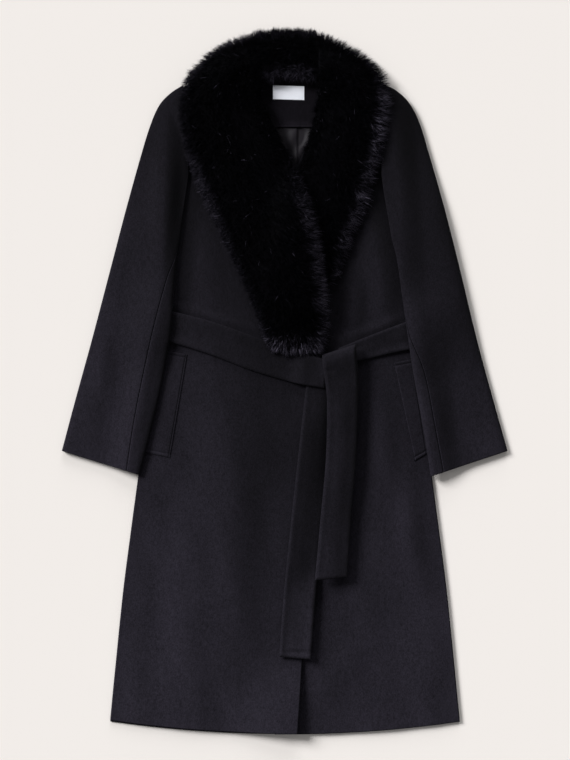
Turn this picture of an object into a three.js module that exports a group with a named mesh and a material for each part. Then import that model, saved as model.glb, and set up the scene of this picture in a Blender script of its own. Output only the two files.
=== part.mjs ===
// A wool coat with a fur shawl collar and a tie belt, laid flat on a table with its front up.
// Millimetres. X runs to the viewer's right, Y from the hem towards the collar, Z up from the table.
// "Right" and "left" are the wearer's, so the right front lies on the viewer's left.
// In every table, x is the distance from the centre line and up the height above the hem.
// Each row is one station across a piece: it starts at (x0, up0) and ends at (x1, up1).
import * as THREE from "three";

const { clamp, smoothstep } = THREE.MathUtils;

// Thickness of each material
const WOOL = 2.4;
const SLEEVE_WALL = 2.2;
const SLEEVE_HEIGHT = 8;
const BELT = 3.6;
const FACING = 1.8;
const SATIN = 1.1;
const LABEL = 0.7;

// How the layers lie on each other
const CLEAR = 0.35;
const CELL = 2.5;
const ROUNDS = 160;
const DRAPE = 0.02; // the sharpest bend, in 1/mm, that the weight of the cloth gives it
const FUR_DRAPE = 0.012;

// Spacing of the stations along a piece, and the number of spaces across it
const BODY_STEP = 46;
const SLEEVE_STEP = 32;
const COLLAR_STEP = 24;
const STRIP_STEP = 30;
const READ_STEP = 8;
const BACK_SPACES = 12;
const FRONT_SPACES = 16;
const COLLAR_SPACES = 10;
const STRIP_SPACES = 4;
const SLEEVE_SPACES = 14;
const TOP_SLEEVE_SPACES = 20;
const UNDER_SLEEVE_SPACES = 10;

// Body: half the width of the coat at the side seams, armholes and shoulders
const HEM_RISE = 21;
const HEM_HALF = 290;
const HEM_FADE = 400;
const RIGHT_HEM_LIFT = 2.5;
const SHOULDER_UP = 1069;
const SHOULDER_HALF = 176;
const NECK_HALF = 75;
const NECK_POINT_RISE = 36;
const NECK_BACK_RISE = 21;
const TOP_FADE_FROM = 900;
const FRONT_EASE = 1; // the air under a front, away from its side seam
const SEAM_FADE = 45;
const SIDE = [
  { up: 0, half: 290 },
  { up: 86, half: 282 },
  { up: 234, half: 268 },
  { up: 345, half: 254.5 },
  { up: 428, half: 243.5 },
  { up: 540, half: 229 },
  { up: 625, half: 219 },
  { up: 645, half: 218 },
  { up: 710, half: 218 },
  { up: 730, half: 219 },
  { up: 850, half: 233 },
  { up: 890, half: 203 },
  { up: 930, half: 178 },
  { up: 985, half: 170 },
  { up: SHOULDER_UP, half: SHOULDER_HALF },
];
// Free edge of each front: the straight wrap edge, then the roll line under the collar
const FRONT_EDGE = [
  { up: 0, right: 21, left: -17 },
  { up: 126, right: 29, left: -29 },
  { up: 580, right: 56, left: -56 },
  { up: 640, right: 61, left: -58 },
  { up: 720, right: 55, left: -52 },
  { up: 830, right: 38, left: -34 },
  { up: 931, right: 6, left: 16 },
  { up: 985, right: -22, left: 44 },
  { up: 1041, right: -42, left: 56 },
  { up: SHOULDER_UP, right: -58, left: 64 },
];

// Soft folds of the cloth: ridges along a line, each with its reach to either side and its height.
// A fold fades in from a little before its line's end, and is full a third of the way along.
const FOLD_OVERRUN = 0.15;
const FOLD_FULL = 0.3;
const RIGHT_FRONT_FOLDS = [
  { x0: -128, up0: 810, x1: -118, up1: 670, reach: 34, rise: 2.6 },
  { x0: -60, up0: 580, x1: -92, up1: 60, reach: 60, rise: 1.8 },
  { x0: -190, up0: 420, x1: -215, up1: 30, reach: 55, rise: 2.4 },
  { x0: 5, up0: 520, x1: 0, up1: 40, reach: 40, rise: 1.4 },
];
const LEFT_FRONT_FOLDS = [
  { x0: 150, up0: 830, x1: 138, up1: 680, reach: 36, rise: 2.8 },
  { x0: 152, up0: 590, x1: 158, up1: 250, reach: 34, rise: 3.4 },
  { x0: 210, up0: 400, x1: 236, up1: 30, reach: 52, rise: 2.2 },
  { x0: 80, up0: 240, x1: 84, up1: 20, reach: 46, rise: 1.8 },
];
const RIGHT_SLEEVE_FOLDS = [
  { x0: -200, up0: 1040, x1: -212, up1: 860, reach: 40, rise: 2.6 },
  { x0: -240, up0: 820, x1: -300, up1: 560, reach: 44, rise: 2.4 },
];
const LEFT_SLEEVE_FOLDS = [
  { x0: 196, up0: 1030, x1: 232, up1: 780, reach: 42, rise: 2.8 },
  { x0: 250, up0: 760, x1: 306, up1: 520, reach: 44, rise: 2.2 },
];

// Sleeves: from the fold at the inner edge to the fold at the outer edge, from armhole to cuff.
// The front seam lies at a share of the way across the upper face, the back seam across the lower.
const BACK_SEAM = 0.38;
const SLEEVE_ROUND = 7;
const RIGHT_SLEEVE = [
  { down: 0, x0: -163, up0: 930, x1: -168, up1: 1076, seam: 0 },
  { down: 30, x0: -168, up0: 895, x1: -190, up1: 1062, seam: 0 },
  { down: 60, x0: -173, up0: 860, x1: -208, up1: 1043, seam: 0 },
  { down: 100, x0: -177, up0: 825, x1: -223, up1: 1010, seam: 0 },
  { down: 150, x0: -182, up0: 790, x1: -240, up1: 955, seam: 0.02 },
  { down: 220, x0: -187, up0: 735, x1: -262, up1: 875, seam: 0.14 },
  { down: 310, x0: -193, up0: 662, x1: -288, up1: 776, seam: 0.235 },
  { down: 410, x0: -206, up0: 590, x1: -318, up1: 662, seam: 0.25 },
  { down: 510, x0: -224, up0: 510, x1: -346, up1: 560, seam: 0.225 },
  { down: 610, x0: -244, up0: 430, x1: -370, up1: 470, seam: 0.165 },
];
const LEFT_SLEEVE = [
  { down: 0, x0: 163, up0: 926, x1: 163, up1: 1077, seam: 0 },
  { down: 30, x0: 168, up0: 893, x1: 184, up1: 1067, seam: 0 },
  { down: 60, x0: 174, up0: 858, x1: 204, up1: 1049, seam: 0 },
  { down: 100, x0: 180, up0: 822, x1: 222, up1: 1016, seam: 0 },
  { down: 150, x0: 188, up0: 790, x1: 240, up1: 958, seam: 0 },
  { down: 220, x0: 196, up0: 735, x1: 263, up1: 877, seam: 0 },
  { down: 310, x0: 206, up0: 662, x1: 289, up1: 775, seam: 0.02 },
  { down: 410, x0: 217, up0: 590, x1: 317, up1: 659, seam: 0.155 },
  { down: 510, x0: 232, up0: 510, x1: 344, up1: 559, seam: 0.155 },
  { down: 610, x0: 245, up0: 428, x1: 369, up1: 470, seam: 0.16 },
];

// Fur collar: from the roll line to the outer edge, out to the tips of the hairs
const RIM_SHARE = 0.22;
const CROWN_ROUND = 2.4;
const RIGHT_COLLAR = [
  { along: 0, x0: -44, up0: 1078, x1: -42, up1: 1170, pile: 17 },
  { along: 70, x0: -44, up0: 1071, x1: -112, up1: 1144, pile: 20 },
  { along: 140, x0: -41, up0: 1062, x1: -164, up1: 1094, pile: 21 },
  { along: 195, x0: -35, up0: 1046, x1: -178, up1: 1040, pile: 21 },
  { along: 250, x0: -18, up0: 1006, x1: -173, up1: 985, pile: 21 },
  { along: 300, x0: 0, up0: 970, x1: -160, up1: 942, pile: 21 },
  { along: 350, x0: 20, up0: 931, x1: -143, up1: 897, pile: 21 },
  { along: 400, x0: 42, up0: 880, x1: -121, up1: 850, pile: 20 },
  { along: 460, x0: 60, up0: 816, x1: -97, up1: 800, pile: 20 },
  { along: 510, x0: 67, up0: 768, x1: -75, up1: 754, pile: 20 },
  { along: 560, x0: 72, up0: 722, x1: -57, up1: 712, pile: 19 },
  { along: 605, x0: 75, up0: 680, x1: -44, up1: 676, pile: 18 },
  { along: 635, x0: 73, up0: 654, x1: -34, up1: 652, pile: 16 },
  { along: 655, x0: 61, up0: 636, x1: -19, up1: 635, pile: 13 },
  { along: 665, x0: 38, up0: 628, x1: 2, up1: 628, pile: 9 },
];
const LEFT_COLLAR = [
  { along: 0, x0: 56, up0: 1078, x1: 55, up1: 1169, pile: 17 },
  { along: 65, x0: 56, up0: 1070, x1: 109, up1: 1144, pile: 20 },
  { along: 135, x0: 55, up0: 1060, x1: 158, up1: 1106, pile: 21 },
  { along: 185, x0: 53, up0: 1046, x1: 175, up1: 1064, pile: 21 },
  { along: 225, x0: 48, up0: 1020, x1: 173, up1: 1026, pile: 21 },
  { along: 275, x0: 38, up0: 983, x1: 167, up1: 977, pile: 20 },
  { along: 330, x0: 24, up0: 940, x1: 152, up1: 926, pile: 19 },
  { along: 385, x0: 5, up0: 893, x1: 140, up1: 873, pile: 18 },
  { along: 430, x0: -10, up0: 852, x1: 120, up1: 832, pile: 17 },
  { along: 475, x0: -20, up0: 806, x1: 107, up1: 795, pile: 16 },
  { along: 525, x0: -26, up0: 762, x1: 89, up1: 751, pile: 15 },
  { along: 570, x0: -20, up0: 722, x1: 74, up1: 716, pile: 13 },
  { along: 600, x0: 0, up0: 694, x1: 56, up1: 692, pile: 9 },
];
const BACK_COLLAR = [
  { along: 0, x0: -43.6, up0: 1078, x1: -41.6, up1: 1170, pile: 17 },
  { along: 50, x0: 6, up0: 1081, x1: 6, up1: 1173, pile: 17 },
  { along: 100, x0: 55.6, up0: 1078, x1: 54.6, up1: 1169, pile: 17 },
];

// Belt: its stretches, each a folded strip of the same wool
const BACK_RUN = [
  { along: 0, x0: -226, up0: 656, x1: -226, up1: 709 },
  { along: 452, x0: 226, up0: 642, x1: 226, up1: 695 },
];
const LONG_END = [
  { along: 0, x0: 40, up0: 615, x1: 92, up1: 608, thick: BELT },
  { along: 45, x0: 34, up0: 572, x1: 88, up1: 568, thick: BELT },
  { along: 180, x0: 19, up0: 439, x1: 72, up1: 436, thick: BELT },
  { along: 365, x0: 0, up0: 257, x1: 53, up1: 255, thick: BELT },
  { along: 492, x0: -10, up0: 130, x1: 43, up1: 126, thick: BELT },
];
const RIGHT_RUN = [
  { along: 0, x0: -233, up0: 658, x1: -228, up1: 711, thick: BELT },
  { along: 12, x0: -218, up0: 656, x1: -212, up1: 708, thick: BELT },
  { along: 40, x0: -193, up0: 651, x1: -184, up1: 701, thick: BELT },
  { along: 110, x0: -130, up0: 632, x1: -117, up1: 683, thick: BELT },
  { along: 200, x0: -50, up0: 602, x1: -36, up1: 654, thick: BELT },
  { along: 280, x0: 24, up0: 581, x1: 37, up1: 630, thick: BELT },
  { along: 320, x0: 66, up0: 574, x1: 72, up1: 620, thick: BELT },
];
const LEFT_RUN = [
  { along: 0, x0: 228, up0: 642, x1: 235, up1: 693, thick: BELT },
  { along: 12, x0: 213, up0: 639, x1: 219, up1: 690, thick: BELT },
  { along: 60, x0: 166, up0: 629, x1: 176, up1: 675, thick: BELT },
  { along: 115, x0: 120, up0: 617, x1: 127, up1: 656, thick: BELT },
  { along: 150, x0: 84, up0: 608, x1: 88, up1: 640, thick: BELT },
];
// The short end comes up behind the other stretches, folds over their tops and falls in front
const SHORT_END = [
  { along: 0, x0: 61, up0: 629, x1: 116, up1: 647, thick: 4.4 },
  { along: 5, x0: 61, up0: 624, x1: 117, up1: 642, thick: 8 },
  { along: 16, x0: 62, up0: 612, x1: 118, up1: 630, thick: 9.6 },
  { along: 45, x0: 66, up0: 584, x1: 121, up1: 592, thick: 6.4 },
  { along: 75, x0: 69, up0: 552, x1: 121, up1: 556, thick: 4.4 },
  { along: 180, x0: 67, up0: 455, x1: 117, up1: 457, thick: BELT },
  { along: 270, x0: 59, up0: 366, x1: 110, up1: 368, thick: BELT },
  { along: 377, x0: 49, up0: 257, x1: 103, up1: 262, thick: BELT },
];

// Welt pockets, from the side seam's edge of the welt to its stitched front edge
const RIGHT_WELT = [
  { down: 0, x0: -200, up0: 637, x1: -162, up1: 630 },
  { down: 172, x0: -234, up0: 468, x1: -191, up1: 459 },
];
const LEFT_WELT = [
  { down: 0, x0: 212, up0: 622, x1: 178, up1: 616 },
  { down: 165, x0: 236, up0: 466, x1: 214, up1: 453 },
];

// Inside the neck: facing, satin lining with its centre pleat, and a blank label
const NECK_FACING = [
  { down: 0, x0: -66, up0: 1090, x1: 70, up1: 1090 },
  { down: 84, x0: -66, up0: 1006, x1: 70, up1: 1006 },
];
const BACK_LINING = [
  { down: 0, x0: -62, up0: 1005, x1: 66, up1: 1005 },
  { down: 120, x0: -62, up0: 885, x1: 66, up1: 885 },
];
const PLEAT_X = 21;
const PLEAT_RISE = 2.2;
const PLEAT_REACH = 30;
const LINING_COLUMNS = [0, 0.2, 0.4, 0.55, 0.645, 0.664, 0.8, 1];
const NECK_LABEL = [
  { down: 0, x0: -20, up0: 1076, x1: 32, up1: 1076 },
  { down: 23, x0: -20, up0: 1053, x1: 32, up1: 1053 },
];

const cloth = new THREE.MeshStandardMaterial({ color: 0x1d1c21, roughness: 0.95, metalness: 0 });
const fur = new THREE.MeshStandardMaterial({ color: 0x08080a, roughness: 0.7, metalness: 0 });
const satin = new THREE.MeshStandardMaterial({ color: 0x3a373d, roughness: 0.4, metalness: 0 });
const tape = new THREE.MeshStandardMaterial({ color: 0xe6e6ee, roughness: 0.8, metalness: 0 });

const mix = (a, b, t) => a + (b - a) * t;
const evenly = (count) => Array.from({ length: count + 1 }, (_, i) => i / count);

// Shares of the way across that are closest together at both edges
const toEdges = (count) => evenly(count).map((t) => (1 - Math.cos(Math.PI * t)) / 2);

// Adds rows to a table, each column on a smooth curve against the key column
function refine(table, key, step) {
  const last = table.length - 1;
  const slope = (name, i) => {
    const [a, b] = [table[Math.max(i - 1, 0)], table[Math.min(i + 1, last)]];
    return (b[name] - a[name]) / (b[key] - a[key]);
  };
  const rows = [];
  for (let i = 0; i < last; i++) {
    const [a, b] = [table[i], table[i + 1]];
    const span = b[key] - a[key];
    const parts = Math.max(1, Math.round(Math.abs(span) / step));
    for (let k = 0; k < parts; k++) {
      const t = k / parts;
      const row = {};
      for (const name of Object.keys(a)) {
        const bend = t * (1 - t) * span * ((1 - t) * slope(name, i) - t * slope(name, i + 1));
        const blend = t * t * (3 - 2 * t);
        row[name] = mix(a[name], b[name], blend) + bend;
      }
      rows.push(row);
    }
  }
  return [...rows, table[last]];
}

// The value of one column where the key column has the given value, on the same curves
function read(table, key, name, at) {
  const rows = refine(table, key, READ_STEP);
  const i = clamp(rows.findIndex((row) => row[key] >= at), 1, rows.length - 1);
  const [a, b] = [rows[i - 1], rows[i]];
  return mix(a[name], b[name], clamp((at - a[key]) / (b[key] - a[key]), 0, 1));
}

// Plan points of a piece: a line of points for each row, at the given shares of the way across
const plan = (rows, shares) =>
  rows.map((row) => shares.map((s) => [mix(row.x0, row.x1, s), mix(row.up0, row.up1, s)]));

// The height of everything laid down so far, at points CELL apart
class Stack {
  constructor(halfWidth, low, high) {
    this.left = Math.floor(-halfWidth / CELL);
    this.low = Math.floor(low / CELL);
    this.columns = Math.ceil((2 * halfWidth) / CELL) + 3;
    this.rows = Math.ceil((high - low) / CELL) + 3;
    this.heights = new Float32Array(this.columns * this.rows);
  }

  // Visits each point inside a triangle in plan, with the triangle's three weights there
  visit([ax, ay], [bx, by], [cx, cy], look) {
    const area = (bx - ax) * (cy - ay) - (cx - ax) * (by - ay);
    if (Math.abs(area) < 1e-6) return;
    const firstRow = Math.ceil(Math.min(ay, by, cy) / CELL);
    const lastRow = Math.floor(Math.max(ay, by, cy) / CELL);
    const firstColumn = Math.ceil(Math.min(ax, bx, cx) / CELL);
    const lastColumn = Math.floor(Math.max(ax, bx, cx) / CELL);
    for (let j = firstRow; j <= lastRow; j++)
      for (let i = firstColumn; i <= lastColumn; i++) {
        const [x, y] = [i * CELL - ax, j * CELL - ay];
        const v = (x * (cy - ay) - (cx - ax) * y) / area;
        const w = ((bx - ax) * y - x * (by - ay)) / area;
        if (v >= 0 && w >= 0 && v + w <= 1)
          look((j - this.low) * this.columns + i - this.left, 1 - v - w, v, w);
      }
  }

  // Adds a closed piece: each point near it is raised to its top
  add(geometry) {
    const at = geometry.getAttribute("position");
    const corner = (i) => [at.getX(i), at.getY(i)];
    for (let i = 0; i < at.count; i += 3)
      this.visit(corner(i), corner(i + 1), corner(i + 2), (cell, u, v, w) => {
        const z = u * at.getZ(i) + v * at.getZ(i + 1) + w * at.getZ(i + 2);
        for (const row of [-this.columns, 0, this.columns])
          for (const column of [-1, 0, 1]) {
            const near = cell + row + column;
            this.heights[near] = Math.max(this.heights[near], z);
          }
      });
  }

  // Lays a sheet over the stack and returns the height of each of its points. The sheet's weight
  // bends it by up to drape, and it stays CLEAR of everything but the table, which it rests on.
  lay(points, drape = DRAPE) {
    const [rows, columns] = [points.length, points[0].length];
    const flat = points.flat();
    const z = new Float64Array(flat.length);
    const contacts = [];
    for (let r = 0; r < rows - 1; r++)
      for (let c = 0; c < columns - 1; c++)
        for (const corners of cellTriangles(r, c, columns)) {
          const [a, b, d] = corners;
          this.visit(flat[a], flat[b], flat[d], (cell, ...weights) => {
            const top = this.heights[cell];
            if (top === 0) return;
            contacts.push({ corners, weights, floor: top + CLEAR });
            for (const k of corners) z[k] = Math.max(z[k], top + CLEAR);
          });
        }
    const neighbours = flat.map((p, k) =>
      [[k - columns, k >= columns], [k + columns, k < flat.length - columns],
        [k - 1, k % columns > 0], [k + 1, k % columns < columns - 1]]
        .filter(([, inside]) => inside)
        .map(([n]) => ({ n, pull: 1 / ((flat[n][0] - p[0]) ** 2 + (flat[n][1] - p[1]) ** 2) })));
    const push = () => {
      let worst = 0;
      for (const { corners, weights, floor } of contacts) {
        const height = corners.reduce((sum, k, i) => sum + z[k] * weights[i], 0);
        const need = floor - height;
        if (need <= 0) continue;
        worst = Math.max(worst, need);
        const share = weights.reduce((sum, w) => sum + w * w, 0);
        corners.forEach((k, i) => (z[k] += (need * weights[i]) / share));
      }
      return worst;
    };
    for (let round = 0; round < ROUNDS; round++) {
      neighbours.forEach((list, k) => {
        const total = list.reduce((sum, { pull }) => sum + pull, 0);
        const even = list.reduce((sum, { n, pull }) => sum + pull * z[n], 0) / total;
        z[k] = mix(z[k], Math.max(0, even - drape / total), 1 - round / ROUNDS);
      });
      push();
    }
    for (let round = 0; round < ROUNDS && push() > 0.01; round++);
    return points.map((row, r) => row.map((_, c) => z[r * columns + c]));
  }
}

const cellTriangles = (r, c, columns) => {
  const a = r * columns + c;
  return [[a, a + 1, a + columns + 1], [a, a + columns + 1, a + columns]];
};

// A closed body between two grids of points that have the same rows and columns
function wall(outer, inner) {
  const [rows, columns] = [outer.length, outer[0].length];
  const vertices = [...outer.flat(), ...inner.flat()];
  const back = rows * columns;
  const faces = [];
  for (let r = 0; r < rows - 1; r++)
    for (let c = 0; c < columns - 1; c++)
      for (const [a, b, d] of cellTriangles(r, c, columns))
        faces.push([a, b, d], [a + back, d + back, b + back]);
  const rim = [];
  for (let c = 0; c < columns - 1; c++) rim.push(c);
  for (let r = 0; r < rows - 1; r++) rim.push(r * columns + columns - 1);
  for (let c = columns - 1; c > 0; c--) rim.push((rows - 1) * columns + c);
  for (let r = rows - 1; r > 0; r--) rim.push(r * columns);
  rim.forEach((a, i) => {
    const b = rim[(i + 1) % rim.length];
    faces.push([a, a + back, b], [b, a + back, b + back]);
  });
  const volume = faces.reduce((sum, [a, b, c]) => {
    const [p, q, s] = [a, b, c].map((k) => new THREE.Vector3(...vertices[k]));
    return sum + p.dot(q.cross(s));
  }, 0);
  const ordered = volume < 0 ? faces.map(([a, b, c]) => [a, c, b]) : faces;
  const positions = ordered.flat().flatMap((k) => vertices[k]);
  return new THREE.BufferGeometry()
    .setAttribute("position", new THREE.Float32BufferAttribute(positions, 3));
}

const coat = new THREE.Group();
const stack = new Stack(420, -20, 1210);

// Adds a piece to the coat, and to the stack unless its neighbours only meet its edges
function place(name, geometry, material, stacked = true) {
  geometry.computeVertexNormals();
  const mesh = new THREE.Mesh(geometry, material);
  mesh.name = name;
  coat.add(mesh);
  if (stacked) stack.add(geometry);
}

// How far a point is raised by a list of folds: each is a round ridge that fades out at its ends
function foldHeight(folds, x, up) {
  return folds.reduce((height, f) => {
    const [dx, dy] = [f.x1 - f.x0, f.up1 - f.up0];
    const t = ((x - f.x0) * dx + (up - f.up0) * dy) / (dx * dx + dy * dy);
    const away = Math.abs((x - f.x0) * dy - (up - f.up0) * dx) / Math.hypot(dx, dy);
    const across = away < f.reach ? (1 + Math.cos((Math.PI * away) / f.reach)) / 2 : 0;
    const near = smoothstep(t, -FOLD_OVERRUN, FOLD_FULL);
    const far = smoothstep(1 - t, -FOLD_OVERRUN, FOLD_FULL);
    return height + f.rise * across * near * far;
  }, 0);
}

// A slab of cloth laid on the stack. raise(x, up, row) lifts it, and thick(row, share) is its depth
function slab(points, raise, thick, drape) {
  const z = stack.lay(points, drape);
  const lower = points.map((row, r) => row.map(([x, y], c) => [x, y, z[r][c] + raise(x, y)]));
  const upper = lower.map((row, r) =>
    row.map(([x, y, height], c) => [x, y, height + thick(r, c)]));
  return wall(upper, lower);
}

const still = () => 0;

// Moves a plan point of the body up by the curve of the hem, the shoulders and the neck
function bow([x, up]) {
  const hem = HEM_RISE * (x / HEM_HALF) ** 2 * (1 - smoothstep(up, 0, HEM_FADE));
  const across = Math.abs(x);
  const slope = clamp((SHOULDER_HALF - across) / (SHOULDER_HALF - NECK_HALF), 0, 1);
  const neck = mix(NECK_BACK_RISE, NECK_POINT_RISE, (across / NECK_HALF) ** 2);
  const top = across > NECK_HALF ? NECK_POINT_RISE * slope : neck;
  return [x, up + hem + top * smoothstep(up, TOP_FADE_FROM, SHOULDER_UP)];
}

function backPanel() {
  const rows = refine(SIDE, "up", BODY_STEP);
  const stations = rows.map(({ up, half }) => ({ x0: -half, up0: up, x1: half, up1: up }));
  const points = plan(stations, evenly(BACK_SPACES)).map((row) => row.map(bow));
  place("back_panel", slab(points, still, () => WOOL), cloth);
}

// A front: side is -1 for the wearer's right, which lies on the viewer's left. Its hem hangs
// short of the other one's by hemLift.
function frontPanel(name, side, edge, folds, hemLift) {
  const rows = refine(SIDE, "up", BODY_STEP);
  const stations = rows.map(({ up, half }) => ({
    x0: read(FRONT_EDGE, "up", edge, up), up0: up, x1: side * half, up1: up,
  }));
  const short = ([x, up]) => [x, up + hemLift * (1 - smoothstep(up, 0, HEM_FADE))];
  const points = plan(stations, evenly(FRONT_SPACES)).map((row) => row.map(bow).map(short));
  const seamFade = (x, up) => {
    const half = read(SIDE, "up", "half", clamp(up, 0, SHOULDER_UP));
    return smoothstep(half - Math.abs(x), 0, SEAM_FADE);
  };
  const raise = (x, up) => seamFade(x, up) * (FRONT_EASE + foldHeight(folds, x, up));
  place(name, slab(points, raise, () => WOOL), cloth);
}

function strip(name, table, material, thickness, columns = evenly(STRIP_SPACES), raise = still) {
  const rows = refine(table, Object.keys(table[0])[0], STRIP_STEP);
  const thick = (r) => rows[r].thick ?? thickness;
  place(name, slab(plan(rows, columns), raise, thick), material);
}

// A sleeve is a flattened tube in two pieces. Around the tube, q runs from 0 to 1 across the lower
// face, from the inner fold to the outer, and from 1 to 2 back across the upper face.
function sleeve(side, table, folds) {
  const rows = refine(table, "down", SLEEVE_STEP);
  const shares = toEdges(SLEEVE_SPACES);
  const points = plan(rows, shares);
  const rest = stack.lay(points);
  const restAt = (r, share) => {
    const c = clamp(shares.findIndex((s) => s > share), 1, shares.length - 1);
    const t = clamp((share - shares[c - 1]) / (shares[c] - shares[c - 1]), 0, 1);
    return mix(rest[r][c - 1], rest[r][c], t);
  };
  const width = ({ x0, up0, x1, up1 }) => Math.hypot(x1 - x0, up1 - up0);
  const point = (r, q, inset) => {
    const row = rows[r];
    const share = (1 - Math.cos(Math.PI * q)) / 2;
    const upper = Math.sin(Math.PI * q) < 0;
    const round = (1 - Math.abs(Math.cos(Math.PI * q)) ** SLEEVE_ROUND) ** (1 / SLEEVE_ROUND);
    const edge = inset / width(row);
    const across = mix(edge, 1 - edge, share);
    const [x, y] = [mix(row.x0, row.x1, across), mix(row.up0, row.up1, across)];
    const half = SLEEVE_HEIGHT / 2 - inset;
    const lift = upper ? foldHeight(folds, x, y) * round : 0;
    return [x, y, restAt(r, share) + SLEEVE_HEIGHT / 2 + (upper ? half : -half) * round + lift];
  };
  const pieces = [
    ["top_sleeve", (row) => [seamPlace(BACK_SEAM), 2 - seamPlace(row.seam)], TOP_SLEEVE_SPACES],
    ["under_sleeve", (row) => [2 - seamPlace(row.seam), 2 + seamPlace(BACK_SEAM)],
      UNDER_SLEEVE_SPACES],
  ];
  for (const [name, span, count] of pieces) {
    const grid = (inset) => rows.map((row, r) => {
      const [from, to] = span(row);
      const gap = CLEAR / width(row);
      return evenly(count).map((t) => point(r, mix(from + gap, to - gap, t), inset));
    });
    place(`${side}_${name}`, wall(grid(0), grid(SLEEVE_WALL)), cloth);
  }
}

// Where around the tube a seam lies that is at a share of the way across a face
const seamPlace = (share) => Math.acos(1 - 2 * Math.max(share, 0)) / Math.PI;

// A length of the fur collar: full in the middle and thin where the hairs lie out at its edges
function furPiece(name, table, stacked) {
  const rows = refine(table, "along", COLLAR_STEP);
  const shares = toEdges(COLLAR_SPACES);
  const crown = (share) => Math.sqrt(1 - Math.abs(2 * share - 1) ** CROWN_ROUND);
  const thick = (r, c) => rows[r].pile * mix(RIM_SHARE, 1, crown(shares[c]));
  const geometry = slab(plan(rows, shares), still, thick, FUR_DRAPE);
  place(name, geometry, fur, stacked);
}

strip("belt_back_run", BACK_RUN, cloth, BELT);
backPanel();
const pleat = (x) => (x <= PLEAT_X ? PLEAT_RISE * smoothstep(x, PLEAT_X - PLEAT_REACH, PLEAT_X) : 0);
strip("back_lining", BACK_LINING, satin, SATIN, LINING_COLUMNS, pleat);
strip("neck_facing", NECK_FACING, cloth, FACING);
strip("neck_label", NECK_LABEL, tape, LABEL);
frontPanel("left_front", 1, "left", LEFT_FRONT_FOLDS, 0);
frontPanel("right_front", -1, "right", RIGHT_FRONT_FOLDS, RIGHT_HEM_LIFT);
strip("right_pocket_welt", RIGHT_WELT, cloth, WOOL);
strip("left_pocket_welt", LEFT_WELT, cloth, WOOL);
strip("belt_long_end", LONG_END, cloth, BELT);
strip("belt_left_run", LEFT_RUN, cloth, BELT);
strip("belt_right_run", RIGHT_RUN, cloth, BELT);
strip("belt_short_end", SHORT_END, cloth, BELT);
sleeve("right", RIGHT_SLEEVE, RIGHT_SLEEVE_FOLDS);
sleeve("left", LEFT_SLEEVE, LEFT_SLEEVE_FOLDS);
furPiece("collar_back", BACK_COLLAR, false);
furPiece("collar_left", LEFT_COLLAR);
furPiece("collar_right", RIGHT_COLLAR);

// The origin is the middle of the coat's outline, on the table
const middle = new THREE.Box3().setFromObject(coat).getCenter(new THREE.Vector3());
coat.position.set(-middle.x, -middle.y, 0);

export default coat;
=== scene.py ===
"""A black wool wrap coat with a fake-fur shawl collar and a tie belt, laid flat, front up.

Metres, in the frame of the construction: X to the viewer's right, Y from hem to collar, Z up.
"Right" and "left" are the wearer's. The numbers in a table are thousandths, so its lengths are in
millimetres, x from the coat's centre line and y from the hem, and its shares are per thousand.
Each row of a piece is a station across it, from (x0, y0) to (x1, y1).
"""
import math

import bpy
import numpy as np
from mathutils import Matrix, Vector


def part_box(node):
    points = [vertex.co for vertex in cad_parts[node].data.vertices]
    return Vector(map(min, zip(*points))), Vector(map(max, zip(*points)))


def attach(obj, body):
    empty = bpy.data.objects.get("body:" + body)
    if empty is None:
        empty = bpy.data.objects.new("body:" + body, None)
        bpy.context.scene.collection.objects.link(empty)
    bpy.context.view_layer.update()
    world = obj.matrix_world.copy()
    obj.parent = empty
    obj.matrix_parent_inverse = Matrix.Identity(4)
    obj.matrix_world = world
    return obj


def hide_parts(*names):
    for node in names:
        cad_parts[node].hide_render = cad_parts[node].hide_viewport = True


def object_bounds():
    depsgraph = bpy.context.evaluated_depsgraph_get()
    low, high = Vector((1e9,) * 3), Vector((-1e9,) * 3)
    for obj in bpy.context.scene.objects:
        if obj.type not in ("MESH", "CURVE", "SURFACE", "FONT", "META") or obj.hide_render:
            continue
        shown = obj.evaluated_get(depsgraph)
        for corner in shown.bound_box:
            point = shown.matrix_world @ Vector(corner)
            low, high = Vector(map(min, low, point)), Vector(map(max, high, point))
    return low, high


bl_info = {
    "name": "Belted coat",
    "version": (1, 0, 0),
    "blender": (4, 5, 0),
    "location": "3D View > Sidebar > Coat",
    "description": "Dresses a laid-out wool coat: cloth, tie belt, lining and fur collar",
    "category": "Object",
}

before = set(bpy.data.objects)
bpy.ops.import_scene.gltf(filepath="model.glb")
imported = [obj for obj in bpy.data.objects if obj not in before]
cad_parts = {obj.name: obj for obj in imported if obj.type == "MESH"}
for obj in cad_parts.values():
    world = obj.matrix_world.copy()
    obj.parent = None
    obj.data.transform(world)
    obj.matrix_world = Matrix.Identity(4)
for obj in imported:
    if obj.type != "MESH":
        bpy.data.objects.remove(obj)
CAD_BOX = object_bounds()
BODY = "root"

# The centre line and the hem, from the back panel of the construction
BACK_LOW, BACK_HIGH = (np.array(corner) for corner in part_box("back_panel"))
CENTRE_X = (BACK_LOW[0] + BACK_HIGH[0]) / 2
HEM_Y = BACK_LOW[1]


def table(names, rows):
    """Rows of thousandths as one array of metres or shares for each named column."""
    return dict(zip(names.split(), np.array(rows, float).T / 1000))


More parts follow.
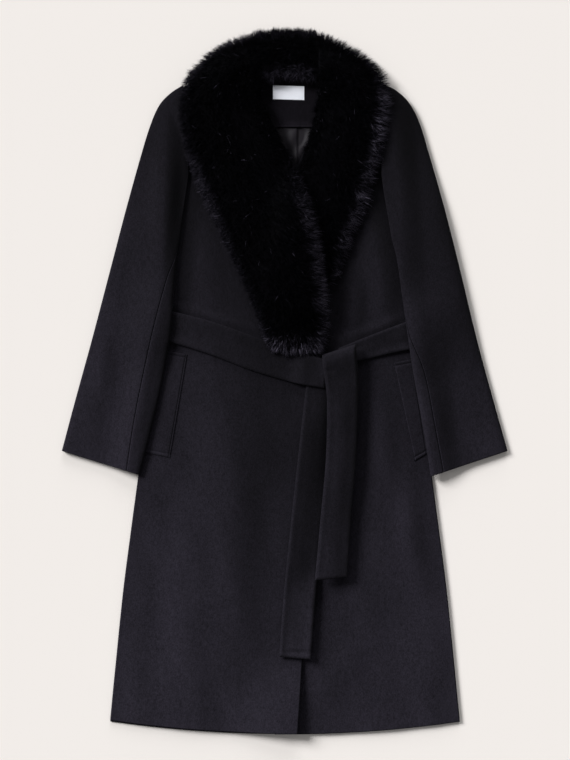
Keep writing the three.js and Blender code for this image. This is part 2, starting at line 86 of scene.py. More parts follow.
# Body: half its width at the side seams, armholes and shoulders, and the free edge of each front
SIDE = table("y half", [
    (0, 290), (86, 282), (234, 268), (345, 254.5), (428, 243.5), (540, 229), (625, 219), (645, 218),
    (710, 218), (730, 219), (850, 233), (890, 203), (930, 178), (985, 170), (1069, 176),
])
FRONT_EDGE = table("y right left", [
    (0, 21, -17), (126, 29, -29), (580, 56, -56), (640, 61, -58), (720, 55, -52), (830, 38, -34),
    (931, 6, 16), (985, -22, 44), (1041, -42, 56), (1069, -58, 64),
])
SHOULDER_Y, SHOULDER_HALF, NECK_HALF = SIDE["y"][-1], SIDE["half"][-1], 0.075
NECK_POINT_RISE, NECK_BACK_RISE, TOP_FADE_FROM = 0.036, 0.021, 0.900
HEM_RISE, HEM_HALF, HEM_FADE = 0.021, 0.290, 0.400
RIGHT_HEM_LIFT = 0.0025

# How loose the fronts lie, how far from the side seams that fades out, how far the right front's
# free edge stands up at the hem, and how far in and up that reaches
FRONT_AIR, FRONT_WAVE, SEAM_FADE = 0.0009, 0.0005, 0.045
EDGE_LIFT, EDGE_LIFT_REACH, EDGE_LIFT_UP = 0.0105, 0.100, 0.150

# Folds of the cloth: a soft ridge along a line, with its reach to either side and its rise
FOLD = "x0 y0 x1 y1 reach rise"
RIGHT_FRONT_FOLDS = table(FOLD, [
    (-136, 840, -124, 690, 40, 1.8), (-172, 900, -192, 690, 38, 4.0),
    (-214, 720, -30, 665, 12, 2.0), (-105, 600, -150, 0, 95, 4.2), (-58, 590, -82, 150, 58, 1.5),
])
LEFT_FRONT_FOLDS = table(FOLD, [
    (138, 900, 174, 690, 38, 3.8), (124, 760, 116, 660, 18, 1.0), (228, 703, 92, 652, 12, 1.4),
    (160, 600, 166, 380, 34, 1.8), (205, 440, 212, 260, 34, 1.2), (60, 60, 130, 150, 34, 0.8),
])
RIGHT_SLEEVE_FOLDS = table(FOLD, [
    (-199, 1060, -201, 770, 32, 6.0), (-152, 965, -159, 820, 36, -6.0),
    (-181, 1045, -150, 970, 14, 3.0), (-212, 700, -262, 450, 30, 1.8),
    (-268, 870, -310, 550, 34, 2.6),
])
LEFT_SLEEVE_FOLDS = table(FOLD, [
    (183, 1065, 203, 780, 32, 3.4), (199, 790, 240, 500, 28, 1.6), (268, 890, 302, 600, 52, 5.0),
    (194, 800, 224, 560, 50, -3.0),
])
# Small creases that a hollow line makes in the tie: by its loop, and over the turned end
TIE_CREASES = table(FOLD, [(62, 604, 80, 601, 4, -1.0), (4, 138.5, 44, 136.5, 5, -1.4)])

# Sums of sine waves: height, radians a metre along x and along y, and share of the phase
CLOTH_WAVES = [(0.50, 62, 9, 1.0), (0.30, 33, -26, 2.1), (0.35, 23, 41, 0.7), (0.20, 120, 31, 1.0)]
SATIN_WAVES = [(0.0009, 210, 60, 1.0), (0.0007, -190, 150, 0.0)]
HAIR_WAVES = [(1.0, 95, 60, 1.0), (1.0, -70, 130, 0.0)]

# Sleeves, from the fold at the inner edge to the fold at the outer edge, armhole to cuff. seam is
# where the front seam lies, as a share of the way across the upper face
SLEEVE = "along x0 y0 x1 y1 seam"
RIGHT_SLEEVE = table(SLEEVE, [
    (0, -163, 930, -168, 1076, 0), (30, -168, 895, -190, 1062, 0), (60, -173, 860, -208, 1043, 0),
    (100, -177, 825, -223, 1010, 0), (150, -182, 790, -240, 955, 20),
    (220, -187, 735, -262, 875, 140), (310, -193, 662, -288, 776, 235),
    (410, -206, 590, -318, 662, 250), (510, -224, 510, -346, 560, 225),
    (610, -244, 430, -370, 470, 165),
])
LEFT_SLEEVE = table(SLEEVE, [
    (0, 163, 926, 163, 1077, 0), (30, 168, 893, 184, 1067, 0), (60, 174, 858, 204, 1049, 0),
    (100, 180, 822, 222, 1016, 0), (150, 188, 790, 240, 958, 0), (220, 196, 735, 263, 877, 0),
    (310, 206, 662, 289, 775, 20), (410, 217, 590, 317, 659, 155), (510, 232, 510, 344, 559, 155),
    (610, 245, 428, 369, 470, 160),
])
SLEEVE_HEIGHT, SLEEVE_WALL, SLEEVE_TUCK, BACK_SEAM = 0.0080, 0.0022, 0.0035, 0.38
# How square the folds are: of the lower face, and of the upper one at its inner and outer fold
SLEEVE_ROUND, RIGHT_FOLD_ROUND, LEFT_FOLD_ROUND = 7.0, (3.0, 7.0), (7.0, 4.0)
ROUND_FROM, ROUND_TO = 0.1, 0.9
# How wide a seam's groove is, and how deep seams, the cuff's edge and the inside sink, as shares
# of the wall
SEAM_WIDTH, SEAM_DEPTH, CUFF_DEPTH, INSIDE_DEPTH = 0.0040, 0.30, 0.45, 0.6
# Points across the top and the under sleeve, the width of either in its cloth map, and the width
# of sleeve that half a turn round the section stands for
TOP_POINTS, UNDER_POINTS, MAP_WIDTH, TURN_WIDTH = 64, 34, 0.2, 0.15

# Fur collar, from the roll line to the outer edge, out to the tips of the hairs. inner and outer say
# how far the hairs stand out over each edge and how pale the tips are painted there as a highlight:
# 0 at a smooth roll
COLLAR = "along x0 y0 x1 y1 pile inner outer"
RIGHT_COLLAR = table(COLLAR, [
    (0, -44, 1078, -42, 1170, 17, 0, 250), (70, -44, 1071, -112, 1144, 20, 0, 200),
    (140, -41, 1062, -164, 1094, 21, 0, 200), (195, -35, 1046, -178, 1040, 21, 0, 50),
    (250, -18, 1006, -173, 985, 21, 0, 120), (300, 0, 970, -160, 942, 21, 0, 300),
    (350, 20, 931, -143, 897, 21, 100, 320), (400, 42, 880, -121, 850, 20, 400, 220),
    (460, 60, 816, -97, 800, 20, 600, 120), (510, 67, 768, -75, 754, 20, 750, 60),
    (560, 72, 722, -57, 712, 19, 750, 60), (605, 75, 680, -44, 676, 18, 650, 120),
    (635, 73, 654, -34, 652, 16, 600, 350), (655, 61, 636, -19, 635, 13, 800, 850),
    (665, 38, 628, 2, 628, 9, 1000, 1000),
])
LEFT_COLLAR = table(COLLAR, [
    (0, 56, 1078, 55, 1169, 17, 0, 250), (65, 56, 1070, 109, 1144, 20, 0, 350),
    (135, 55, 1060, 158, 1106, 21, 0, 350), (185, 53, 1046, 175, 1064, 21, 0, 750),
    (225, 48, 1020, 173, 1026, 21, 0, 1000), (275, 38, 983, 167, 977, 20, 0, 1000),
    (330, 24, 940, 152, 926, 19, 0, 1000), (385, 5, 893, 140, 873, 18, 0, 950),
    (430, -10, 852, 120, 832, 17, 0, 900), (475, -20, 806, 107, 795, 16, 0, 800),
    (525, -26, 762, 89, 751, 15, 0, 600), (570, -20, 722, 74, 716, 13, 0, 400),
    (600, 0, 694, 56, 692, 9, 100, 300),
])
BACK_COLLAR = table(COLLAR, [
    (0, -43.6, 1078, -41.6, 1170, 17, 280, 100), (50, 6, 1081, 6, 1173, 17, 380, 100),
    (100, 55.6, 1078, 54.6, 1169, 17, 260, 100),
])
# How far the back of the collar reaches under both of its sides
COLLAR_TUCK = 0.004
# The backing: points across it and its spacing, how far it stays off the cloth, its least
# thickness, the length over which its end rounds off, and how far its hair stands above it
PELT_POINTS, PELT_STEP, PELT_CLEAR = 33, 0.005, 0.0004
PELT_WALL, PELT_ROUND, HAIR_ABOVE = 0.0014, 0.020, 0.004

# Belt: its stretches, each a folded strip of the same wool
BELT = 0.0036
PLAIN = "along x0 y0 x1 y1"
BACK_RUN = table(PLAIN, [(0, -226, 656, -226, 709), (452, 226, 642, 226, 695)])
LONG_END = table(PLAIN, [
    (0, 40, 615, 92, 608), (45, 34, 572, 88, 568), (180, 19, 439, 72, 436), (365, 0, 257, 53, 255),
    (492, -10, 130, 43, 126),
])
RIGHT_RUN = table(PLAIN, [
    (0, -233, 658, -228, 711), (12, -218, 656, -212, 708), (40, -193, 651, -184, 701),
    (110, -130, 632, -117, 683), (200, -50, 602, -36, 654), (280, 24, 581, 37, 630),
    (320, 66, 574, 72, 620),
])
LEFT_RUN = table(PLAIN, [
    (0, 228, 642, 235, 693), (12, 213, 639, 219, 690), (60, 166, 629, 176, 675),
    (115, 120, 617, 127, 656), (150, 84, 608, 88, 640),
])
# It comes up behind the other stretches, folds over their tops and falls in front
SHORT_END = table(PLAIN + " thick", [
    (0, 61, 629, 116, 647, 4.4), (5, 61, 624, 117, 642, 8.0), (16, 62, 612, 118, 630, 9.6),
    (45, 66, 584, 121, 592, 6.4), (75, 69, 552, 121, 556, 4.4), (180, 67, 455, 117, 457, 3.6),
    (270, 59, 366, 110, 368, 3.6), (377, 49, 257, 103, 262, 3.6),
])
# How loose the tie lies: everywhere, where its ends hang below the runs, and at the long end,
# which tilts up to the viewer's left and near its tip turns hollow instead
TIE_AIR, TIE_WAVE_RATE, TIE_SOFTNESS = 0.0004, 1.5, 1.3
HANG_FROM, HANG_TO, SHORT_END_AIR, SHORT_END_TILT = 0.03, 0.12, 0.0012, 0.0030
LONG_END_TILT, TILT_FROM, TILT_TO, TIP_FROM, TIP_TO = 0.0060, 0.05, 0.95, 0.33, 0.39
TIP_AIR, TIP_HOLLOW, TIP_MIDDLE = 0.0015, 0.0016, 0.35

# Welt pockets, facing, lining and label
RIGHT_WELT = table(PLAIN, [(0, -200, 637, -162, 630), (172, -234, 468, -191, 459)])
LEFT_WELT = table(PLAIN, [(0, 212, 622, 178, 616), (165, 236, 466, 214, 453)])
NECK_FACING = table(PLAIN, [(0, -66, 1090, 70, 1090), (84, -66, 1006, 70, 1006)])
BACK_LINING = table(PLAIN, [(0, -62, 1005, 66, 1005), (120, -62, 885, 66, 885)])
NECK_LABEL = table(PLAIN, [(0, -20, 1076, 32, 1074.5), (23, -20, 1053, 32, 1051.5)])
WELT_THICKNESS, WELT_SOFTNESS = 0.50, 1.2
# The lining's centre pleat, and a slanted fold beside it
PLEAT_X, PLEAT_RISE, PLEAT_REACH, PLEAT_EDGE = 0.021, 0.0022, 0.030, 0.001
SLANT_X, SLANT_Y, SLANT, SLANT_RISE, SLANT_REACH = 0.036, 0.985, 0.5, 0.0016, 0.009
SATIN_PHASE = 9

# Sewn and pressed lines: distance in from the edge, width and depth
FACING_LINE, LABEL_LINE = (0.0040, 0.0008, 0.0004), (0.0016, 0.0004, 0.0003)
WELT_END_LINE, WELT_SIDE_LINE = (0.0056, 0.0009, 0.0009), (0.0018, 0.0006, 0.0009)
TIE_LINE = (0.0125, 0.0045, 0.0002)

# How the layers lie on each other: cells of the height map and its margin, the height below which
# a cell is bare, the clearance between layers, the sharpest bend, in 1/m, that the weight of the
# cloth or of the collar gives it, and how far a piece bridges a step below it. Under a sleeve that
# changes from the cuff's reach to the upper arm's, which is also averaged over a wider spread
CELL, MARGIN, BARE, CLEAR = 0.0025, 0.13, 1e-5, 0.0003
DRAPE, DRAPE_ROUNDS = 45.0, 90
COLLAR_DRAPE, COLLAR_ROUNDS = 12.0, 420
PANEL_REACH, RUN_REACH, SHORT_END_REACH = 0.060, 0.018, 0.050
CUFF_REACH, SLEEVE_REACH, SLEEVE_SPREAD = 0.032, 0.025, 0.060
SLEEVE_REACH_FROM, SLEEVE_REACH_TO = 0.480, 0.640

# Distance between points of the smaller pieces, and the first distances in from every edge
LINING_STEP, FACING_STEP, LABEL_STEP, WELT_STEP = 0.0016, 0.003, 0.001, 0.002
TIE_STEP, COLLAR_STEP = 0.003, 0.006
EDGE_STEPS = np.array([0, 0.0004, 0.0010, 0.0018, 0.0028, 0.0040, 0.0052, 0.0064, 0.0080, 0.0110])


def a_length(name, description, default):
    """A setting in metres."""
    return bpy.props.FloatProperty(name=name, description=description, default=default, unit="LENGTH")


def a_number(name, description, default, **more):
    """A setting that is a plain number, or an angle."""
    return bpy.props.FloatProperty(name=name, description=description, default=default, **more)


def a_vector(name, description, default, subtype="COLOR"):
    """A setting of three numbers: a colour, or a direction."""
    return bpy.props.FloatVectorProperty(
        name=name, description=description, default=default, subtype=subtype)


class ClothSettings(bpy.types.PropertyGroup):
    """Thickness, spacing and colour of the cloth pieces."""

    wool: a_length("Wool", "Thickness of the wool", 0.0024)
    facing: a_length("Facing", "Thickness of the neck facing", 0.0018)
    satin: a_length("Satin", "Thickness of the lining", 0.0011)
    label: a_length("Label", "Thickness of the label", 0.0007)
    spacing: a_length("Spacing", "Distance between a panel's points", 0.0050)
    folds: a_number("Folds", "Share of the folds' full height", 1.0, min=0.0, max=2.0)
    wool_colour: a_vector("Wool colour", "Colour of the wool", (0.0104, 0.0092, 0.0134))
    tie_colour: a_vector(
        "Tie colour", "Colour of the tie, whose nap lies across", (0.0091, 0.0081, 0.0117))
    facing_colour: a_vector("Facing colour", "Colour of the neck facing", (0.0086, 0.0068, 0.0110))
    satin_colour: a_vector("Satin colour", "Colour of the lining", (0.0114, 0.0100, 0.0131))
    label_colour: a_vector("Label colour", "Colour of the blank label", (0.84, 0.86, 0.93))


class FurSettings(bpy.types.PropertyGroup):
    """Length, density and colour of the fur."""

    length: a_length("Length", "Length of a hair", 0.0265)
    inset: a_length("Inset", "From the hair tips in to the edge of the backing", 0.0205)
    roll_inset: a_length(
        "Roll inset", "The same where the fur rolls over and no hair stands out", 0.0006)
    core: a_number("Core", "Share of the pile that is dense underfur", 0.55)
    radius: a_length("Radius", "Radius of a lock of hairs at its root", 0.00036)
    hairs: bpy.props.IntProperty(
        name="Hairs", description="Most locks in one piece of fur", default=17500)
    rim_hairs: a_number("Rim hairs", "Share of the locks that grow near an edge", 0.55)
    colour: a_vector("Fur colour", "Colour of the fur", (0.0010, 0.0009, 0.0016))
    # Painted highlight: the colour that the pale hair tips at the rims are painted with
    tip_highlight_colour: a_vector("Tip colour", "Colour of the palest hair tips", (0.190, 0.172, 0.240))


class StageSettings(bpy.types.PropertyGroup):
    """Floor, light and camera."""

    floor_colour: a_vector("Floor colour", "Colour of the floor", (0.815, 0.777, 0.747))
    sky: a_number("Sky", "Strength of the even light", 0.25)
    window: a_number("Window", "Strength of the light from the upper left", 4.4)
    window_from: a_vector(
        "Window from", "Direction that it comes from", (-0.70, 0.50, 0.50), "DIRECTION")
    window_angle: a_number("Window angle", "How wide it is", math.radians(24), subtype="ANGLE")
    bank: a_number("Bank", "Strength of the low light from the collar's side", 1.4)
    bank_from: a_vector(
        "Bank from", "Direction that it comes from", (0.05, 0.95, 0.30), "DIRECTION")
    bank_angle: a_number("Bank angle", "How wide it is", math.radians(28), subtype="ANGLE")
    distance: a_length("Distance", "Height of the camera", 3.5)


def smooth_rows(rows, at):
    """Each column at the given values of the first one: a cubic through the table's rows whose
    slope at a row is that of the line between the rows before and after it."""
    names = list(rows)
    key = rows[names[0]]
    last = len(key) - 1
    every = np.arange(len(key))
    before, after = np.maximum(every - 1, 0), np.minimum(every + 1, last)
    i = np.clip(np.searchsorted(key, at, "right") - 1, 0, last - 1)
    span = key[i + 1] - key[i]
    t = (at - key[i]) / span
    out = {names[0]: at}
    for name in names[1:]:
        column = rows[name]
        slope = (column[after] - column[before]) / (key[after] - key[before])
        blend = t * t * (3 - 2 * t)
        bend = t * (1 - t) * span * ((1 - t) * slope[i] - t * slope[i + 1])
        out[name] = column[i] + (column[i + 1] - column[i]) * blend + bend
    return out


def smoothstep(x, low, high):
    t = np.clip((x - low) / (high - low), 0, 1)
    return t * t * (3 - 2 * t)


def spaced(length, step):
    """Places from 0 to length: EDGE_STEPS in from both ends, and evenly between them."""
    edge = EDGE_STEPS[EDGE_STEPS < length / 3]
    middle = length - 2 * edge[-1]
    inner = np.linspace(edge[-1], length - edge[-1], max(2, int(round(middle / step)) + 1))
    return np.concatenate([edge[:-1], inner, (length - edge[:-1])[::-1]])


def widths(fine):
    """The length of each station."""
    return np.hypot(fine["x1"] - fine["x0"], fine["y1"] - fine["y0"])


def between(fine, share):
    """The points of each station that lie at the given shares of its length."""
    x = fine["x0"][:, None] + (fine["x1"] - fine["x0"])[:, None] * share + CENTRE_X
    y = fine["y0"][:, None] + (fine["y1"] - fine["y0"])[:, None] * share + HEM_Y
    return x, y


def strip_plan(rows, step):
    """Plan of a piece: points between (x0, y0) and (x1, y1) of each station, and how far each
    lies from the piece's ends and sides."""
    length = rows["along"][-1]
    along = spaced(length, step)
    fine = smooth_rows(rows, along)
    width = widths(fine)
    share = spaced(width.mean(), step) / width.mean()
    x, y = between(fine, share)
    side = np.outer(width, np.minimum(share, 1 - share))
    end = np.minimum(along, length - along)[:, None] + 0 * side
    return {"x": x, "y": y, "side": side, "end": end, "rows": fine, "share": share + 0 * x,
            "across": np.outer(width, share), "along": along[:, None] + 0 * x}


def bow(x, y):
    """The rise of a panel's points by the curve of the hem, the shoulders and the back neck."""
    hem = HEM_RISE * (x / HEM_HALF) ** 2 * (1 - smoothstep(y, 0, HEM_FADE))
    across = np.abs(x)
    slope = np.clip((SHOULDER_HALF - across) / (SHOULDER_HALF - NECK_HALF), 0, 1)
    neck = NECK_BACK_RISE + (NECK_POINT_RISE - NECK_BACK_RISE) * (across / NECK_HALF) ** 2
    top = np.where(across > NECK_HALF, NECK_POINT_RISE * slope, neck)
    return hem + top * smoothstep(y, TOP_FADE_FROM, SHOULDER_Y)


def panel_plan(edge, side, step, lift=0.0):
    """Plan of a body panel: level stations from the free edge, or the other side, to the side."""
    y = spaced(SHOULDER_Y, step)
    half = smooth_rows(SIDE, y)["half"]
    start = -half if edge is None else smooth_rows(FRONT_EDGE, y)[edge]
    plan = strip_plan({"along": y, "x0": start, "y0": y, "x1": side * half, "y1": y}, step)
    x, up = plan["x"] - CENTRE_X, plan["y"] - HEM_Y
    plan["y"] = plan["y"] + bow(x, up) + lift * (1 - smoothstep(up, 0, HEM_FADE))
    return plan


def ridges(folds, x, y):
    """Height of a list of folds: a cosine bell across each line, highest halfway along it."""
    x, y = x - CENTRE_X, y - HEM_Y
    height = np.zeros_like(x)
    for x0, y0, x1, y1, reach, rise in zip(*folds.values()):
        dx, dy = x1 - x0, y1 - y0
        t = ((x - x0) * dx + (y - y0) * dy) / (dx * dx + dy * dy)
        away = np.abs((x - x0) * dy - (y - y0) * dx) / math.hypot(dx, dy)
        bell = (1 + np.cos(np.pi * np.clip(away / reach, 0, 1))) / 2
        height += rise * bell * smoothstep(t, -0.30, 0.45) * smoothstep(1 - t, -0.30, 0.45)
    return height


def waves(rows, x, y, phase):
    """A sum of sine waves, such as the slight unevenness of cloth that lies loose."""
    return sum(height * np.sin(x * a + y * b + share * phase) for height, a, b, share in rows)


def neighbours(field):
    """The sum of each cell's four neighbours."""
    return sum(np.roll(field, step, axis) for axis in (0, 1) for step in (1, -1))


class Stack:
    """Height of all that is laid down so far, on a square grid that covers the coat."""

    def __init__(self, low, high):
        self.low = np.array(low) - MARGIN
        count = np.ceil((np.array(high) + MARGIN - self.low) / CELL).astype(int)
        self.top = np.zeros((count[1], count[0]))

    def places(self, x, y):
        return (y - self.low[1]) / CELL, (x - self.low[0]) / CELL

    def cover(self, x, y, z):
        """The heights of a grid of points, each space filled in with 6 by 6 points between its
        corners, as a map that is -inf where the piece isn't."""
        t = np.arange(6) / 6
        field = np.stack([x, y, z])
        a, b, c, d = field[:, :-1, :-1], field[:, :-1, 1:], field[:, 1:, :-1], field[:, 1:, 1:]
        s, t = (v[:, None, None] for v in np.meshgrid(t, t))
        s, t = s.reshape(-1, 1, 1, 1), t.reshape(-1, 1, 1, 1)
        fine = (1 - s) * (1 - t) * a + s * (1 - t) * b + (1 - s) * t * c + s * t * d
        row, column = (np.rint(v).astype(int) for v in self.places(fine[:, 0], fine[:, 1]))
        heights = np.full(self.top.shape, -np.inf)
        np.maximum.at(heights, (row.ravel(), column.ravel()), fine[:, 2].ravel())
        return heights

    def add(self, x, y, z):
        self.top = np.maximum(self.top, self.cover(x, y, z))

    def sample(self, field, x, y):
        """A map's values between its cells, each weighted by how near it is."""
        row, column = self.places(x, y)
        r, c = row.astype(int), column.astype(int)
        t, s = row - r, column - c
        upper = field[r, c] * (1 - s) + field[r, c + 1] * s
        return upper * (1 - t) + (field[r + 1, c] * (1 - s) + field[r + 1, c + 1] * s) * t

    def bridged(self, reach, spread):
        """The map with its steps bridged: the highest value within the reach, and within one cell
        at least, averaged over a square three times, but never below the map itself."""
        near = self.top
        for _ in range(max(1, int(reach / CELL))):
            for axis in (0, 1):
                near = np.maximum(near, np.maximum(np.roll(near, 1, axis), np.roll(near, -1, axis)))
        cells = int(spread / CELL / 3)
        for axis in (0, 1, 0, 1, 0, 1):
            shifted = (np.roll(near, step, axis) for step in range(-cells, cells + 1))
            near = sum(shifted) / (2 * cells + 1)
        return np.maximum(near, self.top)

    def rest(self, x, y, reach=0.0, spread=0.0, drape=DRAPE, rounds=DRAPE_ROUNDS):
        """Heights at which a sheet with these points lies on the stack. In rounds, each cell of
        it takes the mean of its neighbours less its own weight, but stays CLEAR of the stack."""
        mask = np.isfinite(self.cover(x, y, 0 * x))
        near = self.bridged(reach, spread)
        floor = np.where(near > BARE, near + CLEAR, 0)
        z, weight = np.where(mask, floor, 0), mask.astype(float)
        count = np.maximum(neighbours(weight), 1)
        sag = drape * CELL * CELL / 4
        for _ in range(rounds):
            z = np.where(mask, np.maximum(floor, neighbours(z * weight) / count - sag), 0)
        return self.sample(self.widened(z, mask), x, y)

    def widened(self, field, known):
        """A map whose values reach four cells further than where they are known."""
        weight = known.astype(float)
        field = np.where(known, field, 0)
        for _ in range(4):
            count, total = neighbours(weight), neighbours(field * weight)
            grown = (weight == 0) & (count > 0)
            field = np.where(grown, total / np.maximum(count, 1), field)
            weight = np.where(grown, 1, weight)
        return field

    def surface(self, x, y, **how):
        """A function of x and y: the height at which a sheet with these points lies, and beyond
        the sheet the height of what is laid there."""
        whole = self.cover(x, y, self.rest(x, y, **how))
        field = np.maximum(self.widened(whole, np.isfinite(whole)), self.top)
        return lambda x, y: self.sample(field, x, y)

    def covers(self, x, y):
        """A function of x and y: whether a piece with these points lies there."""
        inside = np.isfinite(self.cover(x, y, 0 * x))

        def answer(x, y):
            row, column = (np.rint(v).astype(int) for v in self.places(x, y))
            return inside[row, column]

        return answer


LAID = Stack((CAD_BOX[0][0], CAD_BOX[0][1]), (CAD_BOX[1][0], CAD_BOX[1][1]))


def new_object(name, vertices, faces, material, uv=None):
    """An object from an array of vertices and one of faces, all with as many corners."""
    mesh = bpy.data.meshes.new(name)
    corners = faces.shape[1]
    mesh.vertices.add(len(vertices))
    mesh.vertices.foreach_set("co", vertices.astype(np.float32).ravel())
    mesh.loops.add(faces.size)
    mesh.loops.foreach_set("vertex_index", faces.astype(np.int32).ravel())
    mesh.polygons.add(len(faces))
    mesh.polygons.foreach_set("loop_start", np.arange(0, faces.size, corners, dtype=np.int32))
    mesh.polygons.foreach_set("use_smooth", np.ones(len(faces), bool))
    if uv is not None:
        layer = mesh.uv_layers.new(name="cloth")
        layer.data.foreach_set("uv", uv[faces.ravel()].astype(np.float32).ravel())
    mesh.update(calc_edges=True)
    mesh.validate()
    mesh.materials.append(material)
    piece = bpy.data.objects.new(name, mesh)
    bpy.context.scene.collection.objects.link(piece)
    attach(piece, BODY)
    return piece


def wall(name, outer, inner, across, along, material):
    """A closed wall between two grids of points: both faces and the rim that joins them."""
    rows, columns = outer.shape[:2]
    index = np.arange(rows * columns).reshape(rows, columns)
    quads = np.stack([index[:-1, :-1], index[:-1, 1:], index[1:, 1:], index[1:, :-1]], -1).reshape(-1, 4)
    rim = np.concatenate([index[0, :-1], index[:-1, -1], index[-1, :0:-1], index[:0:-1, 0]])
    after = np.roll(rim, -1)
    back = rows * columns
    sides = np.stack([rim, rim + back, after + back, after], -1)
    faces = np.concatenate([quads, quads[:, ::-1] + back, sides])
    vertices = np.concatenate([outer.reshape(-1, 3), inner.reshape(-1, 3)])
    p = vertices[faces]
    twice = np.cross(p[:, 2] - p[:, 0], p[:, 3] - p[:, 1])
    if (p.mean(1) * twice).sum() < 0:
        faces = faces[:, ::-1]
    uv = np.tile(np.stack([across.ravel(), along.ravel()], -1), (2, 1))
    return new_object(name, vertices, faces, material, uv)


def grid_size(points):
    """Longest way across and along a grid of points, and its area."""
    across = np.linalg.norm(np.diff(points, axis=1), axis=2).sum(1).max()
    along = np.linalg.norm(np.diff(points, axis=0), axis=2).sum(0).max()
    a, b = points[1:, 1:] - points[:-1, :-1], points[1:, :-1] - points[:-1, 1:]
    return across, along, np.linalg.norm(np.cross(a, b), axis=2).sum() / 2


def declare(points):
    """Measures the size and area of a piece's grid of points, and does nothing further with them."""
    across, along, area = grid_size(points)


def rolled(distance, thickness, softness=0.6):
    """Share of the thickness at a distance from a turned edge: a quarter of an ellipse, as wide
    as softness times the thickness."""
    return np.sqrt(1 - (1 - np.clip(distance / (softness * thickness), 0, 1)) ** 2)


def groove(distance, at, width, depth):
    """A sewn line at a distance in from an edge: a bell-shaped trough."""
    return -depth * np.exp(-(((distance - at) / width) ** 2))


def lay(name, plan, thickness, material, replaces, raised=0.0, relief=0.0, reach=0.0,
        softness=0.6):
    """Lays a piece on the stack as a closed wall with rolled edges. raised lifts both faces, and
    relief only the upper one. reach is how far it bridges the steps below it."""
    x, y = plan["x"], plan["y"]
    z = LAID.rest(x, y, reach, reach) + raised
    full = rolled(np.minimum(plan["side"], plan["end"]), np.mean(thickness), softness)
    lower = z + thickness * (1 - full) / 2
    upper = z + thickness * (1 + full) / 2 + relief
    top, bottom = np.stack([x, y, upper], -1), np.stack([x, y, lower], -1)
    width = plan["share"] * np.median(plan["side"].max(1)) * 2
    piece = wall(name, top, bottom, width, plan["along"], material)
    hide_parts(replaces)
    declare(top)
    LAID.add(x, y, upper)
    return piece


class Link:
    """A shader socket that Python's operators work on, each adding one Math node."""

    def __init__(self, tree, socket):
        self.tree, self.socket = tree, socket

    def math(self, operation, *values):
        return self.tree.node("ShaderNodeMath", {"operation": operation}, dict(enumerate(values)))

    def __add__(self, other):
        return self.math("ADD", self, other)

    def __sub__(self, other):
        return self.math("SUBTRACT", self, other)

    def __rsub__(self, other):
        return self.math("SUBTRACT", other, self)

    def __mul__(self, other):
        return self.math("MULTIPLY", self, other)

    def __truediv__(self, other):
        return self.math("DIVIDE", self, other)

    __radd__, __rmul__ = __add__, __mul__

    def clamp(self, low, high):
        return self.math("MINIMUM", self.math("MAXIMUM", self, low), high)


class Tree:
    """A material's nodes, around one Principled shader whose plain numbers are set by name."""

    def __init__(self, name, **plain):
        self.material = bpy.data.materials.new(name)
        self.material.use_nodes = True
        self.nodes = self.material.node_tree.nodes
        self.shader = self.nodes["Principled BSDF"]
        for socket, value in plain.items():
            self.shader.inputs[socket.replace("_", " ")].default_value = value

    def node(self, kind, settings, values, output=0):
        """Adds a node, sets its settings, then gives its sockets their values or links."""
        node = self.nodes.new(kind)
        for name, value in settings.items():
            setattr(node, name, value)
        for name, value in values.items():
            self.put(node.inputs[name], value)
        return Link(self, node.outputs[output])

    def put(self, socket, value):
        if isinstance(value, Link):
            self.material.node_tree.links.new(value.socket, socket)
        else:
            socket.default_value = value

    def feed(self, name, value):
        self.put(self.shader.inputs[name], value)

    def place(self, scale=(1, 1, 1)):
        """Object coordinates, stretched by a scale."""
        source = self.node("ShaderNodeTexCoord", {}, {}, "Object")
        return self.node("ShaderNodeMapping", {}, {"Vector": source, "Scale": scale})

    def parts(self, vector, names):
        """The named components of a vector."""
        return [self.node("ShaderNodeSeparateXYZ", {}, {0: vector}, name) for name in names]

    def noise(self, place, scale, detail=2.0, roughness=0.5):
        values = {"Vector": place, "Scale": scale, "Detail": detail, "Roughness": roughness}
        return self.node("ShaderNodeTexNoise", {}, values)

    def mix(self, factor, first, second):
        """A colour between two colours."""
        settings = {"data_type": "RGBA"}
        return self.node("ShaderNodeMix", settings, {0: factor, 6: first, 7: second}, 2)

    def bump(self, height, strength, distance):
        return self.node("ShaderNodeBump", {}, {
            "Height": height, "Strength": strength, "Distance": distance})


def shade(colour, share):
    """A colour made lighter or darker by one share, as a shader colour."""
    return (*(min(1.0, c * share) for c in colour), 1)


